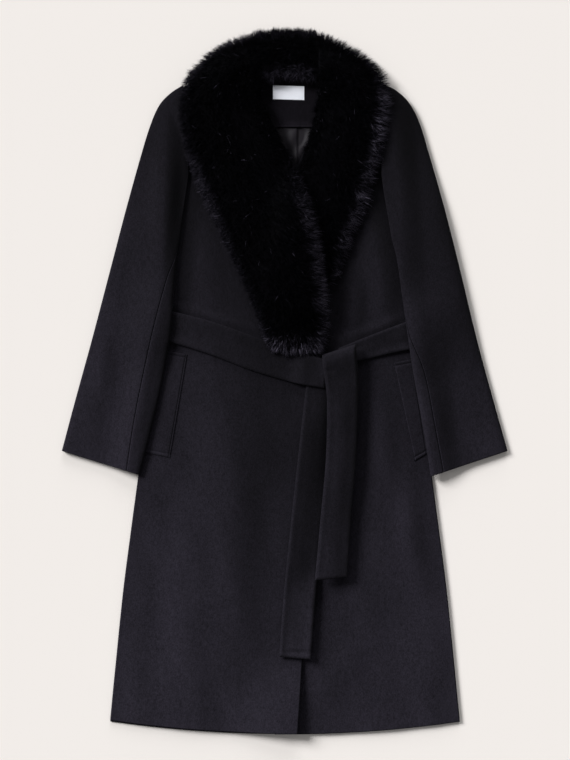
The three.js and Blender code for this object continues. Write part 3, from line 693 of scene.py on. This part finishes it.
def wool_material(name, colour):
    """Brushed wool. Its tone is colour times (0.51 - 1.15 y + 1.6 |x|), painted shade that makes it
    darker high up and near the centre line, and paler towards the hem, the sides and the cuffs. A
    fold is painted paler where it faces the upper left, towards the window light, and painted
    darker where it faces away. Fibres, nap and soft clouds vary it further."""
    tree = Tree(name, Roughness=0.95, Specular_IOR_Level=0.08, Sheen_Weight=0.03, Sheen_Roughness=0.5,
                Sheen_Tint=(0.75, 0.70, 0.90, 1))
    fibre = tree.noise(tree.place((1, 0.6, 1)), 560, 2, 0.6)
    nap = tree.noise(tree.place((1, 0.5, 1)), 190, 3, 0.55)
    cloud = tree.noise(tree.place((1, 0.6, 1)), 15, 2, 0.5)
    x, y = tree.parts(tree.place(), "XY")
    across, along = tree.parts(tree.node("ShaderNodeNewGeometry", {}, {}, "Normal"), "XY")
    # Painted shade: darker high up and near the centre line, paler towards the hem, the sides and the
    # cuffs
    painted_shade_gradient = 0.51 - y * 1.15 + x.math("ABSOLUTE", x) * 1.6
    # Painted fold shade: paler where the normal faces the upper left, towards the window, darker where it
    # faces away
    facing = along.math("EXPONENT", along * 1.2 - across * 3.0).clamp(0.25, 1.25)
    speckle = (fibre - 0.5) * 1.7 + (nap - 0.5) * 0.8 + (cloud - 0.5) * 0.6 + 1
    brightest = 3.2
    level = (painted_shade_gradient.clamp(0.40, 1.4) * facing * speckle / brightest).clamp(0.03, 1)
    tree.feed("Base Color", tree.mix(level, (0, 0, 0, 1), shade(colour, brightest)))
    tree.feed("Normal", tree.bump(fibre * 0.7 + nap * 0.5, 0.5, 0.0010))
    return tree.material


def satin_material(name, colour):
    """Lining satin: fine ribs along the cloth, smooth and glossy, with a slight unevenness."""
    tree = Tree(name, Roughness=0.5, Specular_IOR_Level=0.13)
    ribs = tree.node("ShaderNodeTexWave", {"bands_direction": "X"}, {
        "Vector": tree.place(), "Scale": 620.0, "Distortion": 1.2, "Detail": 1.0}, 1)
    drift = tree.noise(tree.place((1, 0.3, 1)), 60, 2)
    tree.feed("Base Color", tree.mix(drift, shade(colour, 0.85), shade(colour, 1.25)))
    tree.feed("Roughness", drift * 0.14 + 0.44)
    tree.feed("Normal", tree.bump(ribs * 0.5 + drift * 0.8, 0.25, 0.0004))
    return tree.material


def label_material(name, colour):
    """Blank woven tape: fine warp and weft ribs."""
    tree = Tree(name, Roughness=0.7, Specular_IOR_Level=0.35, Sheen_Weight=0.1)
    warp = tree.node("ShaderNodeTexWave", {"bands_direction": "X"}, {
        "Vector": tree.place(), "Scale": 420.0, "Distortion": 0.6}, 1)
    weft = tree.node("ShaderNodeTexWave", {"bands_direction": "Y"}, {
        "Vector": tree.place(), "Scale": 560.0, "Distortion": 0.6}, 1)
    weave = warp * 0.5 + weft * 0.5
    tree.feed("Base Color", tree.mix(weave, shade(colour, 0.88), shade(colour, 1.08)))
    tree.feed("Normal", tree.bump(weave, 0.5, 0.0003))
    return tree.material


def fur_material(name, colour, tip_highlight_colour):
    """Silky fake fur: a deep black that takes up nearly all light, with a painted highlight: tips
    painted paler, towards the tip highlight colour, where a hair's tip attribute says so."""
    tree = Tree(name, Roughness=0.62, Specular_IOR_Level=0.025)
    tip = tree.node("ShaderNodeAttribute", {"attribute_name": "tip"}, {}, "Fac")
    tree.feed("Base Color", tree.mix(tip.clamp(0, 1), shade(colour, 1), shade(tip_highlight_colour, 1)))
    return tree.material


def material(make, name, *colours):
    """The named material, made the first time that a piece asks for it."""
    return bpy.data.materials.get(name) or make(name, *colours)


def wool(cloth):
    return material(wool_material, "brushed_wool", cloth.wool_colour)


def side_fade(plan):
    """0 at the side seam and 1 away from it, so that folds and air die out at the seam."""
    x, y = plan["x"] - CENTRE_X, np.clip(plan["y"] - HEM_Y, 0, SHOULDER_Y)
    half = smooth_rows(SIDE, y.ravel())["half"].reshape(y.shape)
    return smoothstep(half - np.abs(x), 0, SEAM_FADE)


class COAT_OT_back(bpy.types.Operator):
    """Lay the belt's run across the back, then the back panel over it"""

    bl_idname = "coat.back"
    bl_label = "Back"

    def execute(self, context):
        cloth = context.scene.coat_cloth
        plan = strip_plan(BACK_RUN, 2 * cloth.spacing)
        lay("tie_back_run", plan, BELT, wool(cloth), "belt_back_run")
        plan = panel_plan(None, 1, 2 * cloth.spacing)
        lay("back_cloth", plan, cloth.wool, wool(cloth), "back_panel",
            reach=PANEL_REACH)
        return {"FINISHED"}


class COAT_OT_neck(bpy.types.Operator):
    """Lay the lining with its centre pleat, the neck facing and the blank label"""

    bl_idname = "coat.neck"
    bl_label = "Neck"

    def execute(self, context):
        cloth = context.scene.coat_cloth
        plan = strip_plan(BACK_LINING, LINING_STEP)
        x, y = plan["x"] - CENTRE_X, plan["y"] - HEM_Y
        pleat = smoothstep(x, PLEAT_X - PLEAT_REACH, PLEAT_X - PLEAT_EDGE) * (x < PLEAT_X)
        away = (x - SLANT_X - SLANT * (y - SLANT_Y)) / SLANT_REACH
        air = PLEAT_RISE * pleat + waves(SATIN_WAVES, x, y, SATIN_PHASE) + SLANT_RISE * np.exp(-away ** 2)
        satin = material(satin_material, "lining_satin", cloth.satin_colour)
        lay("lining_cloth", plan, cloth.satin, satin, "back_lining",
            raised=np.maximum(air, 0))
        plan = strip_plan(NECK_FACING, FACING_STEP)
        facing = material(wool_material, "facing_wool", cloth.facing_colour)
        lay("facing_cloth", plan, cloth.facing, facing, "neck_facing",
            relief=groove(plan["end"], *FACING_LINE))
        plan = strip_plan(NECK_LABEL, LABEL_STEP)
        tape = material(label_material, "label_weave", cloth.label_colour)
        lay("label_cloth", plan, cloth.label, tape, "neck_label",
            relief=groove(plan["side"], *LABEL_LINE))
        return {"FINISHED"}


class COAT_OT_fronts(bpy.types.Operator):
    """Lay the left front, then the right front over it, with their soft folds"""

    bl_idname = "coat.fronts"
    bl_label = "Fronts"

    def execute(self, context):
        cloth = context.scene.coat_cloth
        for side, sign, folds, lift in (
                ("left", 1, LEFT_FRONT_FOLDS, 0.0), ("right", -1, RIGHT_FRONT_FOLDS, RIGHT_HEM_LIFT)):
            plan = panel_plan(side, sign, cloth.spacing, lift)
            x, y = plan["x"], plan["y"]
            loose = FRONT_AIR + FRONT_WAVE * waves(CLOTH_WAVES, x, y, 3 * sign)
            air = side_fade(plan) * np.maximum(loose + cloth.folds * ridges(folds, x, y), 0)
            if side == "right":
                free = 1 - smoothstep(plan["across"], 0, EDGE_LIFT_REACH)
                air = air + EDGE_LIFT * free * (1 - smoothstep(y - HEM_Y, 0, EDGE_LIFT_UP))
            lay(f"{side}_front_cloth", plan, cloth.wool, wool(cloth), f"{side}_front",
                raised=air, reach=PANEL_REACH)
        return {"FINISHED"}


class COAT_OT_pockets(bpy.types.Operator):
    """Sew a slanted welt on each front, with a stitched line along each of its edges"""

    bl_idname = "coat.pockets"
    bl_label = "Pockets"

    def execute(self, context):
        cloth = context.scene.coat_cloth
        for side, rows in (("right", RIGHT_WELT), ("left", LEFT_WELT)):
            plan = strip_plan(rows, WELT_STEP)
            sewn = np.minimum(groove(plan["end"], *WELT_END_LINE), groove(plan["side"], *WELT_SIDE_LINE))
            lay(f"{side}_welt", plan, WELT_THICKNESS * cloth.wool, wool(cloth),
                f"{side}_pocket_welt", relief=sewn, softness=WELT_SOFTNESS)
        return {"FINISHED"}


def tie_air(name, plan):
    """How far a stretch of the tie is raised off what it lies on."""
    share = plan["share"]
    hung = smoothstep(plan["along"], HANG_FROM, HANG_TO)
    lie = waves(CLOTH_WAVES, plan["x"] * TIE_WAVE_RATE, plan["y"] * TIE_WAVE_RATE, len(name))
    loose = TIE_AIR * (1 + lie)
    if name == "tie_short_end":
        loose = loose + hung * (SHORT_END_AIR + SHORT_END_TILT * share)
    if name == "tie_long_end":
        tip = smoothstep(plan["along"], TIP_FROM, TIP_TO)
        tilted = LONG_END_TILT * (1 - smoothstep(share, TILT_FROM, TILT_TO))
        hollow = TIP_HOLLOW * (2 * (share - TIP_MIDDLE)) ** 2 + TIP_AIR
        loose = loose + hung * (tilted + tip * (hollow - tilted))
    return np.maximum(loose, 0)


class COAT_OT_tie(bpy.types.Operator):
    """Lay the tie: the long end, the runs from both sides, and the short end folded over them"""

    bl_idname = "coat.tie"
    bl_label = "Tie belt"

    def execute(self, context):
        cloth = context.scene.coat_cloth
        tie_wool = material(wool_material, "tie_wool", cloth.tie_colour)
        fronts = ["left_front_cloth", "right_front_cloth"]
        stretches = [
            ("long_end", LONG_END, fronts, RUN_REACH),
            ("left_run", LEFT_RUN, fronts[:1], RUN_REACH),
            ("right_run", RIGHT_RUN, fronts[1:], RUN_REACH),
            ("short_end", SHORT_END, ["tie_right_run", "tie_left_run"], SHORT_END_REACH),
        ]
        for name, rows, below, reach in stretches:
            plan = strip_plan(rows, TIE_STEP)
            thick = plan["rows"].get("thick", np.array([BELT]))[:, None] + 0 * plan["x"]
            pressed = groove(plan["side"], *TIE_LINE) + ridges(TIE_CREASES, plan["x"], plan["y"])
            lay(f"tie_{name}", plan, thick, tie_wool, f"belt_{name}",
                tie_air(f"tie_{name}", plan), pressed, reach, softness=TIE_SOFTNESS)
        return {"FINISHED"}


def seam_place(share):
    """Where around a sleeve, in half turns, a seam at a share of the way across a face lies."""
    return np.arccos(1 - 2 * np.maximum(share, 0)) / np.pi


def sleeve_grid(fine, low, high, q, inset, lift, fold_round):
    """Points of a flattened tube. q runs from 0 to 1 across its lower face, inner fold to outer,
    and from 1 to 2 back across the upper one. Its section is flat with rounded folds: half the
    height times (1 - |cos(pi q)|^p)^(1/p) away from the middle. The lower face lies on low(x, y),
    and the upper one at that height above high(x, y), which bridges the steps of what is below.
    fold_round has p at the inner and at the outer fold of the upper face."""
    cosine = np.cos(np.pi * q)
    share = (1 - cosine) / 2
    upper = np.sin(np.pi * q) < 0
    power = fold_round[0] + (fold_round[1] - fold_round[0]) * smoothstep(share, ROUND_FROM, ROUND_TO)
    power = np.where(upper, power, SLEEVE_ROUND)
    bulge = (1 - np.abs(cosine) ** power) ** (1 / power)
    width = widths(fine)[:, None]
    x, y = between(fine, inset / width + (1 - 2 * inset / width) * share)
    half = SLEEVE_HEIGHT / 2 - inset
    turn = np.where(upper, bulge, -bulge)
    z = low(x, y) + (high(x, y) - low(x, y)) * (1 + turn) / 2 + SLEEVE_HEIGHT / 2 + half * turn
    return np.stack([x, y, z + np.where(upper, lift(x, y) * bulge, 0)], -1)


class COAT_OT_sleeves(bpy.types.Operator):
    """Make both sleeves as flattened tubes of a top and an under sleeve with sunken seams"""

    bl_idname = "coat.sleeves"
    bl_label = "Sleeves"

    def execute(self, context):
        cloth = context.scene.coat_cloth
        self.sleeve(cloth, "right", RIGHT_SLEEVE, RIGHT_SLEEVE_FOLDS, RIGHT_FOLD_ROUND)
        self.sleeve(cloth, "left", LEFT_SLEEVE, LEFT_SLEEVE_FOLDS, LEFT_FOLD_ROUND)
        return {"FINISHED"}

    def sleeve(self, cloth, side, rows, folds, fold_round):
        """Makes one sleeve, and adds it to the stack."""
        along = spaced(rows["along"][-1], cloth.spacing)
        fine = smooth_rows(rows, along)
        fine["x0"] = fine["x0"] - np.sign(fine["x0"]) * SLEEVE_TUCK
        outline = strip_plan(rows, cloth.spacing)
        low, near, far = (
            LAID.surface(outline["x"], outline["y"], reach=reach, spread=spread)
            for reach, spread in ((0.0, 0.0), (CUFF_REACH, CUFF_REACH), (SLEEVE_REACH, SLEEVE_SPREAD)))

        def high(x, y):
            share = smoothstep(y - HEM_Y, SLEEVE_REACH_FROM, SLEEVE_REACH_TO)
            return near(x, y) + (far(x, y) - near(x, y)) * share

        def lift(x, y):
            loose = FRONT_WAVE * (1 + waves(CLOTH_WAVES, x, y, len(side)))
            return cloth.folds * ridges(folds, x, y) + loose

        front, back = seam_place(fine["seam"]), seam_place(np.full(len(along), BACK_SEAM))
        cuff = rolled(np.minimum(along, along[-1] - along), SLEEVE_WALL)[:, None]
        gap = CLEAR / TURN_WIDTH
        for name, start, stop, points in (
                ("top", back, 2 - front, TOP_POINTS), ("under", 2 - front, 2 + back, UNDER_POINTS)):
            share = spaced(MAP_WIDTH, MAP_WIDTH / points) / MAP_WIDTH
            q = start[:, None] + gap + np.outer(stop - start - 2 * gap, share)
            seam = rolled(np.minimum(share, 1 - share) * MAP_WIDTH, SEAM_WIDTH)[None, :]
            sunk = ((1 - seam) * SEAM_DEPTH + (1 - cuff) * CUFF_DEPTH)[..., None]
            outer = sleeve_grid(fine, low, high, q, 0.0, lift, fold_round)
            inner = sleeve_grid(fine, low, high, q, SLEEVE_WALL, lift, fold_round)
            shell = outer + (inner - outer) * sunk
            core = inner + (outer - inner) * sunk * INSIDE_DEPTH
            piece = wall(f"{side}_{name}_sleeve_cloth", shell, core, 0 * q + share * MAP_WIDTH,
                         along[:, None] + 0 * q, wool(cloth))
            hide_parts(f"{side}_{name}_sleeve")
            declare((shell + core) / 2)
            LAID.add(shell[..., 0], shell[..., 1], shell[..., 2])


# A lock's middle, as shares of its radius at the root and of the painted highlight grey at its
# tip, and a direction that no lock points in, from which the sides of all are turned
MIDDLE_RADIUS, MIDDLE_GREY, ASIDE = 0.75, 0.7, (0.31, 0.17, 0.94)


def bent_strands(name, root, middle, tip, radius, grey, pile):
    """Locks of hair as closed three-sided spikes: a triangle round the root, a smaller one round
    the middle, and a point. The tip attribute, how much painted highlight a point gets, grows from
    0 at the root to the lock's grey."""
    count = len(root)
    way = tip - root
    way /= np.linalg.norm(way, axis=1, keepdims=True)
    side = np.cross(way, ASIDE)
    side /= np.linalg.norm(side, axis=1, keepdims=True)
    other = np.cross(way, side)
    turn = np.array([0, 2, 4]) * np.pi / 3
    ring = side[:, None] * np.cos(turn)[None, :, None] + other[:, None] * np.sin(turn)[None, :, None]
    low = root[:, None] + ring * radius[:, None, None]
    high = middle[:, None] + ring * MIDDLE_RADIUS * radius[:, None, None]
    vertices = np.concatenate([low, high, tip[:, None]], 1).reshape(-1, 3)
    shape = np.array([(0, 2, 1), (0, 1, 4), (0, 4, 3), (1, 2, 5), (1, 5, 4), (2, 0, 3), (2, 3, 5),
                      (3, 4, 6), (4, 5, 6), (5, 3, 6)])
    faces = (shape[None] + 7 * np.arange(count)[:, None, None]).reshape(-1, 3)
    piece = new_object(name, vertices, faces, pile)
    tips = piece.data.attributes.new("tip", "FLOAT", "POINT")
    greys = np.outer(grey, 3 * [0] + 3 * [MIDDLE_GREY] + [1]).astype(np.float32)
    tips.data.foreach_set("value", greys.ravel())
    return piece


# Where hairs grow: tries for each one, how near the rims and the last end they gather, and the
# share that grows at that end. OUT_LEAST is the reach over the smoothest outer edge, and
# INNER_GAIN how soon the backing draws in at the inner one
TRIES, RIM_WIDTH, END_WIDTH, END_SHARE = 3, 0.13, 0.008, 0.07
OUT_LEAST, INNER_GAIN = 0.42, 1.6
# Locks: their width, how far and how fast the lines between them wander, the cells before their
# noise repeats, and how strongly a tip is drawn to the middle of its lock
LOCK, LOCK_WANDER, LOCK_RATE, LOCK_CELLS, LOCK_PULL = 0.0048, 0.003, 310, 97, 0.35

# How a hair leans outwards, flows down the collar and rises: by a steady part, at the last end,
# by the noise of its lock, by its own and by smooth waves. The steady flow sets in from the back
# neck's parting on, and the noise is stronger at the back
LEAN, LEAN_LOCK, LEAN_OWN, LEAN_WAVE = 1.7, 0.22, 0.20, 0.10
LEAN_POWER, LEAN_LEAST, LEAN_STAND = 2.2, 0.05, 1.4
FLOW, FLOW_END, FLOW_LOCK, FLOW_OWN, FLOW_WAVE, BACK_RUFFLE = 0.45, 1.5, 0.30, 0.26, 0.14, 1.9
PARTING_FROM, PARTING_TO, END_REACH, SLOPE_STEP = -0.02, 0.09, 0.030, 0.004
RISE, RISE_END, RISE_RIM, RISE_LOCK, RISE_OWN, RISE_LEAST = 0.50, 0.75, 0.12, 0.08, 0.06, 0.05

# Its length as a share of the full one, its bend, how far it may stand off the cloth, and how
# pale its tip is painted as a highlight, with a few stray hairs painted with a glint
SIZE, SIZE_LOCK, SIZE_OWN, SIZE_LESS, SIZE_MORE = 0.90, 0.05, 0.13, -0.45, 0.20
FULL_PILE, LEAST_PILE, LONG_SHARE, LONG_SIZE, ROLL_SIZE = 0.021, 0.006, 0.04, 1.2, 0.45
RIM_FROM, RIM_TO, CROWN_END, ROOT_ABOVE = 0.3, 0.9, 0.8, 0.0012
BEND_AT, BEND_RISE, DROOP = 0.52, 0.10, 0.04
TOP_PILE, TOP_MOST, TOP_OWN, MIDDLE_CLEAR, TIP_CLEAR = 0.010, 1.22, 0.08, 0.0016, 0.0010
PALE_FROM, BACK_PALE_FROM, PALE_TO, PALE_END = 0.70, 0.35, 0.95, 0.9
STRAYS, STRAY_GREY, GREY_POWER, GREY_LOCK, GREY_LEAST, GREY_MOST = 0.014, 0.35, 2.2, 0.6, 0.15, 2.2
THIN, THICK = 0.6, 1.2


def outward(fine):
    """How far the hairs at the outer edge reach, as a share of their full length."""
    return OUT_LEAST + (1 - OUT_LEAST) * fine["outer"].clip(0, 1)


def collar_section(rows, along, fur):
    """Stations of a collar's backing: its width, and the shares of it at which the backing starts
    and stops, further in from an edge the more its hairs stand out."""
    fine = smooth_rows(rows, along)
    width = widths(fine)
    span = fur.inset - fur.roll_inset
    start = (fur.roll_inset + span * np.minimum(1, INNER_GAIN * fine["inner"].clip(0))) / width
    stop = 1 - (fur.roll_inset + span * outward(fine)) / width
    return fine, width, start, stop


def hair_places(rows, fur, count, random, closed, stop):
    """Where hairs grow: s across the backing, from -1 at the roll line to 1 at the outer edge, and
    the distance along it. More stand near the rims, and at the last end where that is closed."""
    tries = count * TRIES
    s = random.uniform(-1, 1, tries)
    rim = random.uniform(size=tries) < fur.rim_hairs
    near = np.sign(s) * (1 - np.abs(random.normal(0, RIM_WIDTH, tries))).clip(-1, 1)
    s = np.where(rim, near, s)
    along = random.uniform(0, 1, tries) * stop
    if closed:
        last = random.uniform(size=tries) < END_SHARE
        along = np.where(last, stop - np.abs(random.normal(0, END_WIDTH, tries)), along)
    width = collar_section(rows, along, fur)[1]
    keep = np.flatnonzero(random.uniform(0, width.max(), tries) < width)[:count]
    return s[keep], along[keep]


def hair_field(rows, z_at, fur, count, seed, closed, hidden):
    """Roots, middles, tips, radii and painted highlight greys of the hairs of one stretch of collar.

    A hair leans outwards the more the nearer it is to a rim, down the collar by a steady share, and
    up by what is left. Smooth waves and each lock's own share of noise turn it. Its tip is drawn
    towards the middle of its lock. closed says whether the hairs go round the stretch's last end,
    and hidden(x, y) where another stretch lies over this one and presses it flat."""
    random = np.random.default_rng(seed)
    length = rows["along"][-1]
    stop = length - fur.inset if closed else length
    s, along = hair_places(rows, fur, count, random, closed, stop)
    fine, width, first, final = collar_section(rows, along, fur)
    ahead = smooth_rows(rows, np.minimum(along + SLOPE_STEP, length))
    behind = smooth_rows(rows, np.maximum(along - SLOPE_STEP, 0))
    inner = np.stack([fine["x0"], fine["y0"]], -1)
    outer = np.stack([fine["x1"], fine["y1"]], -1)
    share = (first + (final - first) * (s + 1) / 2)[:, None]
    plan = inner + (outer - inner) * share + (CENTRE_X, HEM_Y)
    across = (outer - inner) / width[:, None]
    down = np.stack([ahead["x0"] + ahead["x1"] - behind["x0"] - behind["x1"],
                     ahead["y0"] + ahead["y1"] - behind["y0"] - behind["y1"]], -1)
    down /= np.linalg.norm(down, axis=1, keepdims=True)

    warp = LOCK_WANDER * np.sin(plan[:, ::-1] * LOCK_RATE + seed)
    cell = np.floor((plan + warp) / LOCK).astype(int)
    noise = random.normal(size=(LOCK_CELLS, LOCK_CELLS, 4))
    common = noise[cell[:, 1] % LOCK_CELLS, cell[:, 0] % LOCK_CELLS]
    own = random.normal(size=(len(s), 3))
    sway = waves(HAIR_WAVES, plan[:, 0], plan[:, 1], seed)
    tail = smoothstep(along, stop - END_REACH, stop) if closed else 0 * s
    parting = smoothstep(along, PARTING_FROM, PARTING_TO) if closed else 0 * s
    ruffle = 1.0 if closed else BACK_RUFFLE
    arch = 1 - np.abs(s) ** 3
    stands = np.where(s < 0, fine["inner"].clip(0, 1), 1.0)
    out = np.sign(s) * np.abs(s) ** LEAN_POWER * np.minimum(1, LEAN_LEAST + LEAN_STAND * stands)
    lean = out * LEAN + LEAN_LOCK * common[:, 0] + LEAN_OWN * own[:, 0] + LEAN_WAVE * sway
    flow = parting * FLOW + FLOW_END * tail + FLOW_WAVE * sway
    flow += ruffle * (FLOW_LOCK * common[:, 1] + FLOW_OWN * own[:, 1])
    rise = RISE * arch * (1 - RISE_END * tail) + RISE_RIM
    rise = np.maximum(rise + RISE_LOCK * common[:, 2] + RISE_OWN * own[:, 2], RISE_LEAST)
    way = np.concatenate([across * lean[:, None] + down * flow[:, None], rise[:, None]], 1)
    way /= np.linalg.norm(way, axis=1, keepdims=True)

    vary = (ruffle * (SIZE_LOCK * common[:, 2] + SIZE_OWN * own[:, 2])).clip(SIZE_LESS, SIZE_MORE)
    size = fur.length * (SIZE + vary) * (fine["pile"].clip(LEAST_PILE) / FULL_PILE) ** 0.5
    size = size * np.where(random.uniform(size=len(s)) < LONG_SHARE, LONG_SIZE, 1.0)
    size = size * np.minimum(1, ROLL_SIZE + stands)
    size = size * (1 - (1 - outward(fine)) * smoothstep(s, RIM_FROM, RIM_TO))
    crown = fine["pile"] * fur.core * arch ** 0.5 * (1 - CROWN_END * tail)
    base = z_at(plan[:, 0], plan[:, 1])
    root = np.concatenate([plan, (base + ROOT_ABOVE + crown)[:, None]], 1)
    middle = root + way * BEND_AT * size[:, None] + [0, 0, 1] * (BEND_RISE * size)[:, None]
    tip = root + way * size[:, None]
    tip[:, :2] += ((cell + 0.5) * LOCK - plan) * LOCK_PULL
    tip[:, 2] -= DROOP * size
    most = fine["pile"].clip(TOP_PILE) * (TOP_MOST - TOP_OWN * np.abs(own[:, 2]))
    for point, least in ((middle, MIDDLE_CLEAR), (tip, TIP_CLEAR)):
        low = z_at(point[:, 0], point[:, 1])
        point[:, 2] = np.clip(point[:, 2], low + least, np.maximum(low, base) + most)

    # Painted highlight: tips near the rims that the table marks, and at the last end, are painted pale as
    # rim light; a few stray hairs get painted glints
    pale = np.where(s < 0, fine["inner"], fine["outer"]).clip(0, 1)
    pale *= smoothstep(np.abs(s), PALE_FROM if closed else BACK_PALE_FROM, PALE_TO)
    pale = np.maximum(pale, PALE_END * tail)
    strays = random.uniform(size=len(s)) < STRAYS
    grey = np.where(strays, np.maximum(pale, STRAY_GREY), pale)
    grey = grey * random.uniform(0, 1, len(s)) ** GREY_POWER
    grey = grey * (1 + GREY_LOCK * common[:, 3]).clip(GREY_LEAST, GREY_MOST)
    radius = fur.radius * random.uniform(THIN, THICK, len(s))
    shown = ~hidden(root[:, 0], root[:, 1])
    if not closed:
        shown &= ~hidden(tip[:, 0], tip[:, 1])
    return [values[shown] for values in (root, middle, tip, radius, grey)]


def nowhere(x, y):
    """Answers for each point that nothing lies over it."""
    return np.zeros(len(x), bool)


class COAT_OT_collar(bpy.types.Operator):
    """Make the fur collar: for each stretch a dense backing and the locks of hair on it"""

    bl_idname = "coat.collar"
    bl_label = "Fur collar"

    def execute(self, context):
        fur = context.scene.coat_fur
        pile = material(fur_material, "fur_pile", fur.colour, fur.tip_highlight_colour)
        stretches = [
            ("back", BACK_COLLAR, False, 0.35, ["under"], ["back_cloth", "facing_cloth"]),
            ("left", LEFT_COLLAR, True, 1.0, ["under"], ["left_front_cloth", "left_top_sleeve_cloth"]),
            ("right", RIGHT_COLLAR, True, 1.0, ["under", "guard"],
             ["right_front_cloth", "right_top_sleeve_cloth"]),
        ]
        over = {"right": nowhere}
        for side, rows in (("back", LEFT_COLLAR), ("left", RIGHT_COLLAR)):
            plan = strip_plan(rows, COLLAR_STEP)
            over[side] = LAID.covers(plan["x"], plan["y"])
        for number, (side, rows, closed, share, layers, below) in enumerate(stretches):
            whole = strip_plan(rows, COLLAR_STEP)
            z_at = LAID.surface(whole["x"], whole["y"], drape=COLLAR_DRAPE, rounds=COLLAR_ROUNDS)
            length = rows["along"][-1]
            stop = length - fur.inset if closed else length
            tuck = 0 if closed else COLLAR_TUCK
            along = np.linspace(-tuck, stop + tuck, max(12, int(length / PELT_STEP)))
            fine, width, first, final = collar_section(rows, along, fur)
            s = np.sin(np.linspace(-np.pi / 2, np.pi / 2, PELT_POINTS))
            across = first[:, None] + (final - first)[:, None] * (s + 1) / 2
            x, y = between(fine, across)
            low = z_at(x, y) + PELT_CLEAR
            taper = rolled(stop - along, PELT_ROUND)[:, None] if closed else 1
            crown = (1 - np.abs(s) ** 3) ** 0.5 * taper
            high = low + PELT_WALL + fine["pile"][:, None] * fur.core * crown
            pelt = wall(f"collar_{side}_pelt", np.stack([x, y, high], -1), np.stack([x, y, low], -1),
                        across, along[:, None] + 0 * x, pile)
            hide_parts(f"collar_{side}")
            for layer, name in enumerate(layers):
                seed = 10 * number + layer + 1
                hairs = hair_field(rows, z_at, fur, int(fur.hairs * share), seed, closed, over[side])
                bent_strands(f"collar_{side}_{name}_hair", *hairs, pile)
            height = z_at(whole["x"], whole["y"])
            declare(np.stack([whole["x"], whole["y"], height], -1))
            if closed:
                LAID.add(x, y, high + HAIR_ABOVE)
        return {"FINISHED"}


# The floor's half width and height, and the photograph's frame, 570 by 760 pixels, which has the
# coat's centre line at its middle
FLOOR_HALF, FLOOR_Z = 30.0, -0.0006
PICTURE_HEIGHT, SENSOR, AIM_UP = 1.2616, 36.0, 0.5876


class COAT_OT_stage(bpy.types.Operator):
    """Set a pale floor, soft light from the upper left, and a camera straight above the coat"""

    bl_idname = "coat.stage"
    bl_label = "Stage"

    def execute(self, context):
        stage = context.scene.coat_stage
        scene = context.scene
        corners = [(-1, -1), (1, -1), (1, 1), (-1, 1)]
        mesh = bpy.data.meshes.new("floor")
        mesh.from_pydata([(FLOOR_HALF * x, FLOOR_HALF * y, FLOOR_Z) for x, y in corners], [],
                         [(0, 1, 2, 3)])
        floor = bpy.data.objects.new("floor", mesh)
        scene.collection.objects.link(floor)
        tree = Tree("floor_paint", Roughness=0.9, Specular_IOR_Level=0.1)
        grain = tree.noise(tree.place(), 3, 2)
        colour = stage.floor_colour
        tree.feed("Base Color", tree.mix(grain, shade(colour, 0.995), shade(colour, 1.005)))
        mesh.materials.append(tree.material)

        world = bpy.data.worlds.new("soft_sky")
        world.use_nodes = True
        sky = world.node_tree.nodes["Background"].inputs
        sky["Color"].default_value = (1, 1, 1, 1)
        sky["Strength"].default_value = stage.sky
        scene.world = world
        for name in ("window", "bank"):
            sun = bpy.data.lights.new(name, "SUN")
            sun.energy, sun.angle = getattr(stage, name), getattr(stage, f"{name}_angle")
            lamp = bpy.data.objects.new(name, sun)
            towards = Vector(getattr(stage, f"{name}_from"))
            lamp.rotation_euler = towards.to_track_quat("Z", "Y").to_euler()
            scene.collection.objects.link(lamp)

        lens = bpy.data.cameras.new("camera")
        lens.sensor_width = SENSOR
        lens.lens = SENSOR * stage.distance / PICTURE_HEIGHT
        camera = bpy.data.objects.new("camera", lens)
        camera.location = (CENTRE_X, HEM_Y + AIM_UP, stage.distance)
        scene.collection.objects.link(camera)
        scene.camera = camera
        scene.view_settings.view_transform = "Standard"
        return {"FINISHED"}


class COAT_PT_panel(bpy.types.Panel):
    """The coat's steps and settings"""

    bl_idname = "COAT_PT_panel"
    bl_label = "Belted coat"
    bl_space_type = "VIEW_3D"
    bl_region_type = "UI"
    bl_category = "Coat"

    def draw(self, context):
        for group in ("coat_cloth", "coat_fur", "coat_stage"):
            box = self.layout.box()
            settings = getattr(context.scene, group)
            for name in settings.__annotations__:
                box.prop(settings, name)
        for step in STEPS:
            self.layout.operator(step.bl_idname)


GROUPS = {"coat_cloth": ClothSettings, "coat_fur": FurSettings, "coat_stage": StageSettings}
STEPS = (COAT_OT_back, COAT_OT_neck, COAT_OT_fronts, COAT_OT_pockets, COAT_OT_tie, COAT_OT_sleeves,
         COAT_OT_collar, COAT_OT_stage)
CLASSES = (*GROUPS.values(), *STEPS, COAT_PT_panel)


def register():
    for item in CLASSES:
        bpy.utils.register_class(item)
    for name, group in GROUPS.items():
        setattr(bpy.types.Scene, name, bpy.props.PointerProperty(type=group))


def unregister():
    for name in GROUPS:
        delattr(bpy.types.Scene, name)
    for item in reversed(CLASSES):
        bpy.utils.unregister_class(item)


def main():
    register()
    for step in STEPS:
        getattr(bpy.ops.coat, step.bl_idname.split(".")[1])()


if __name__ == "__main__":
    main()
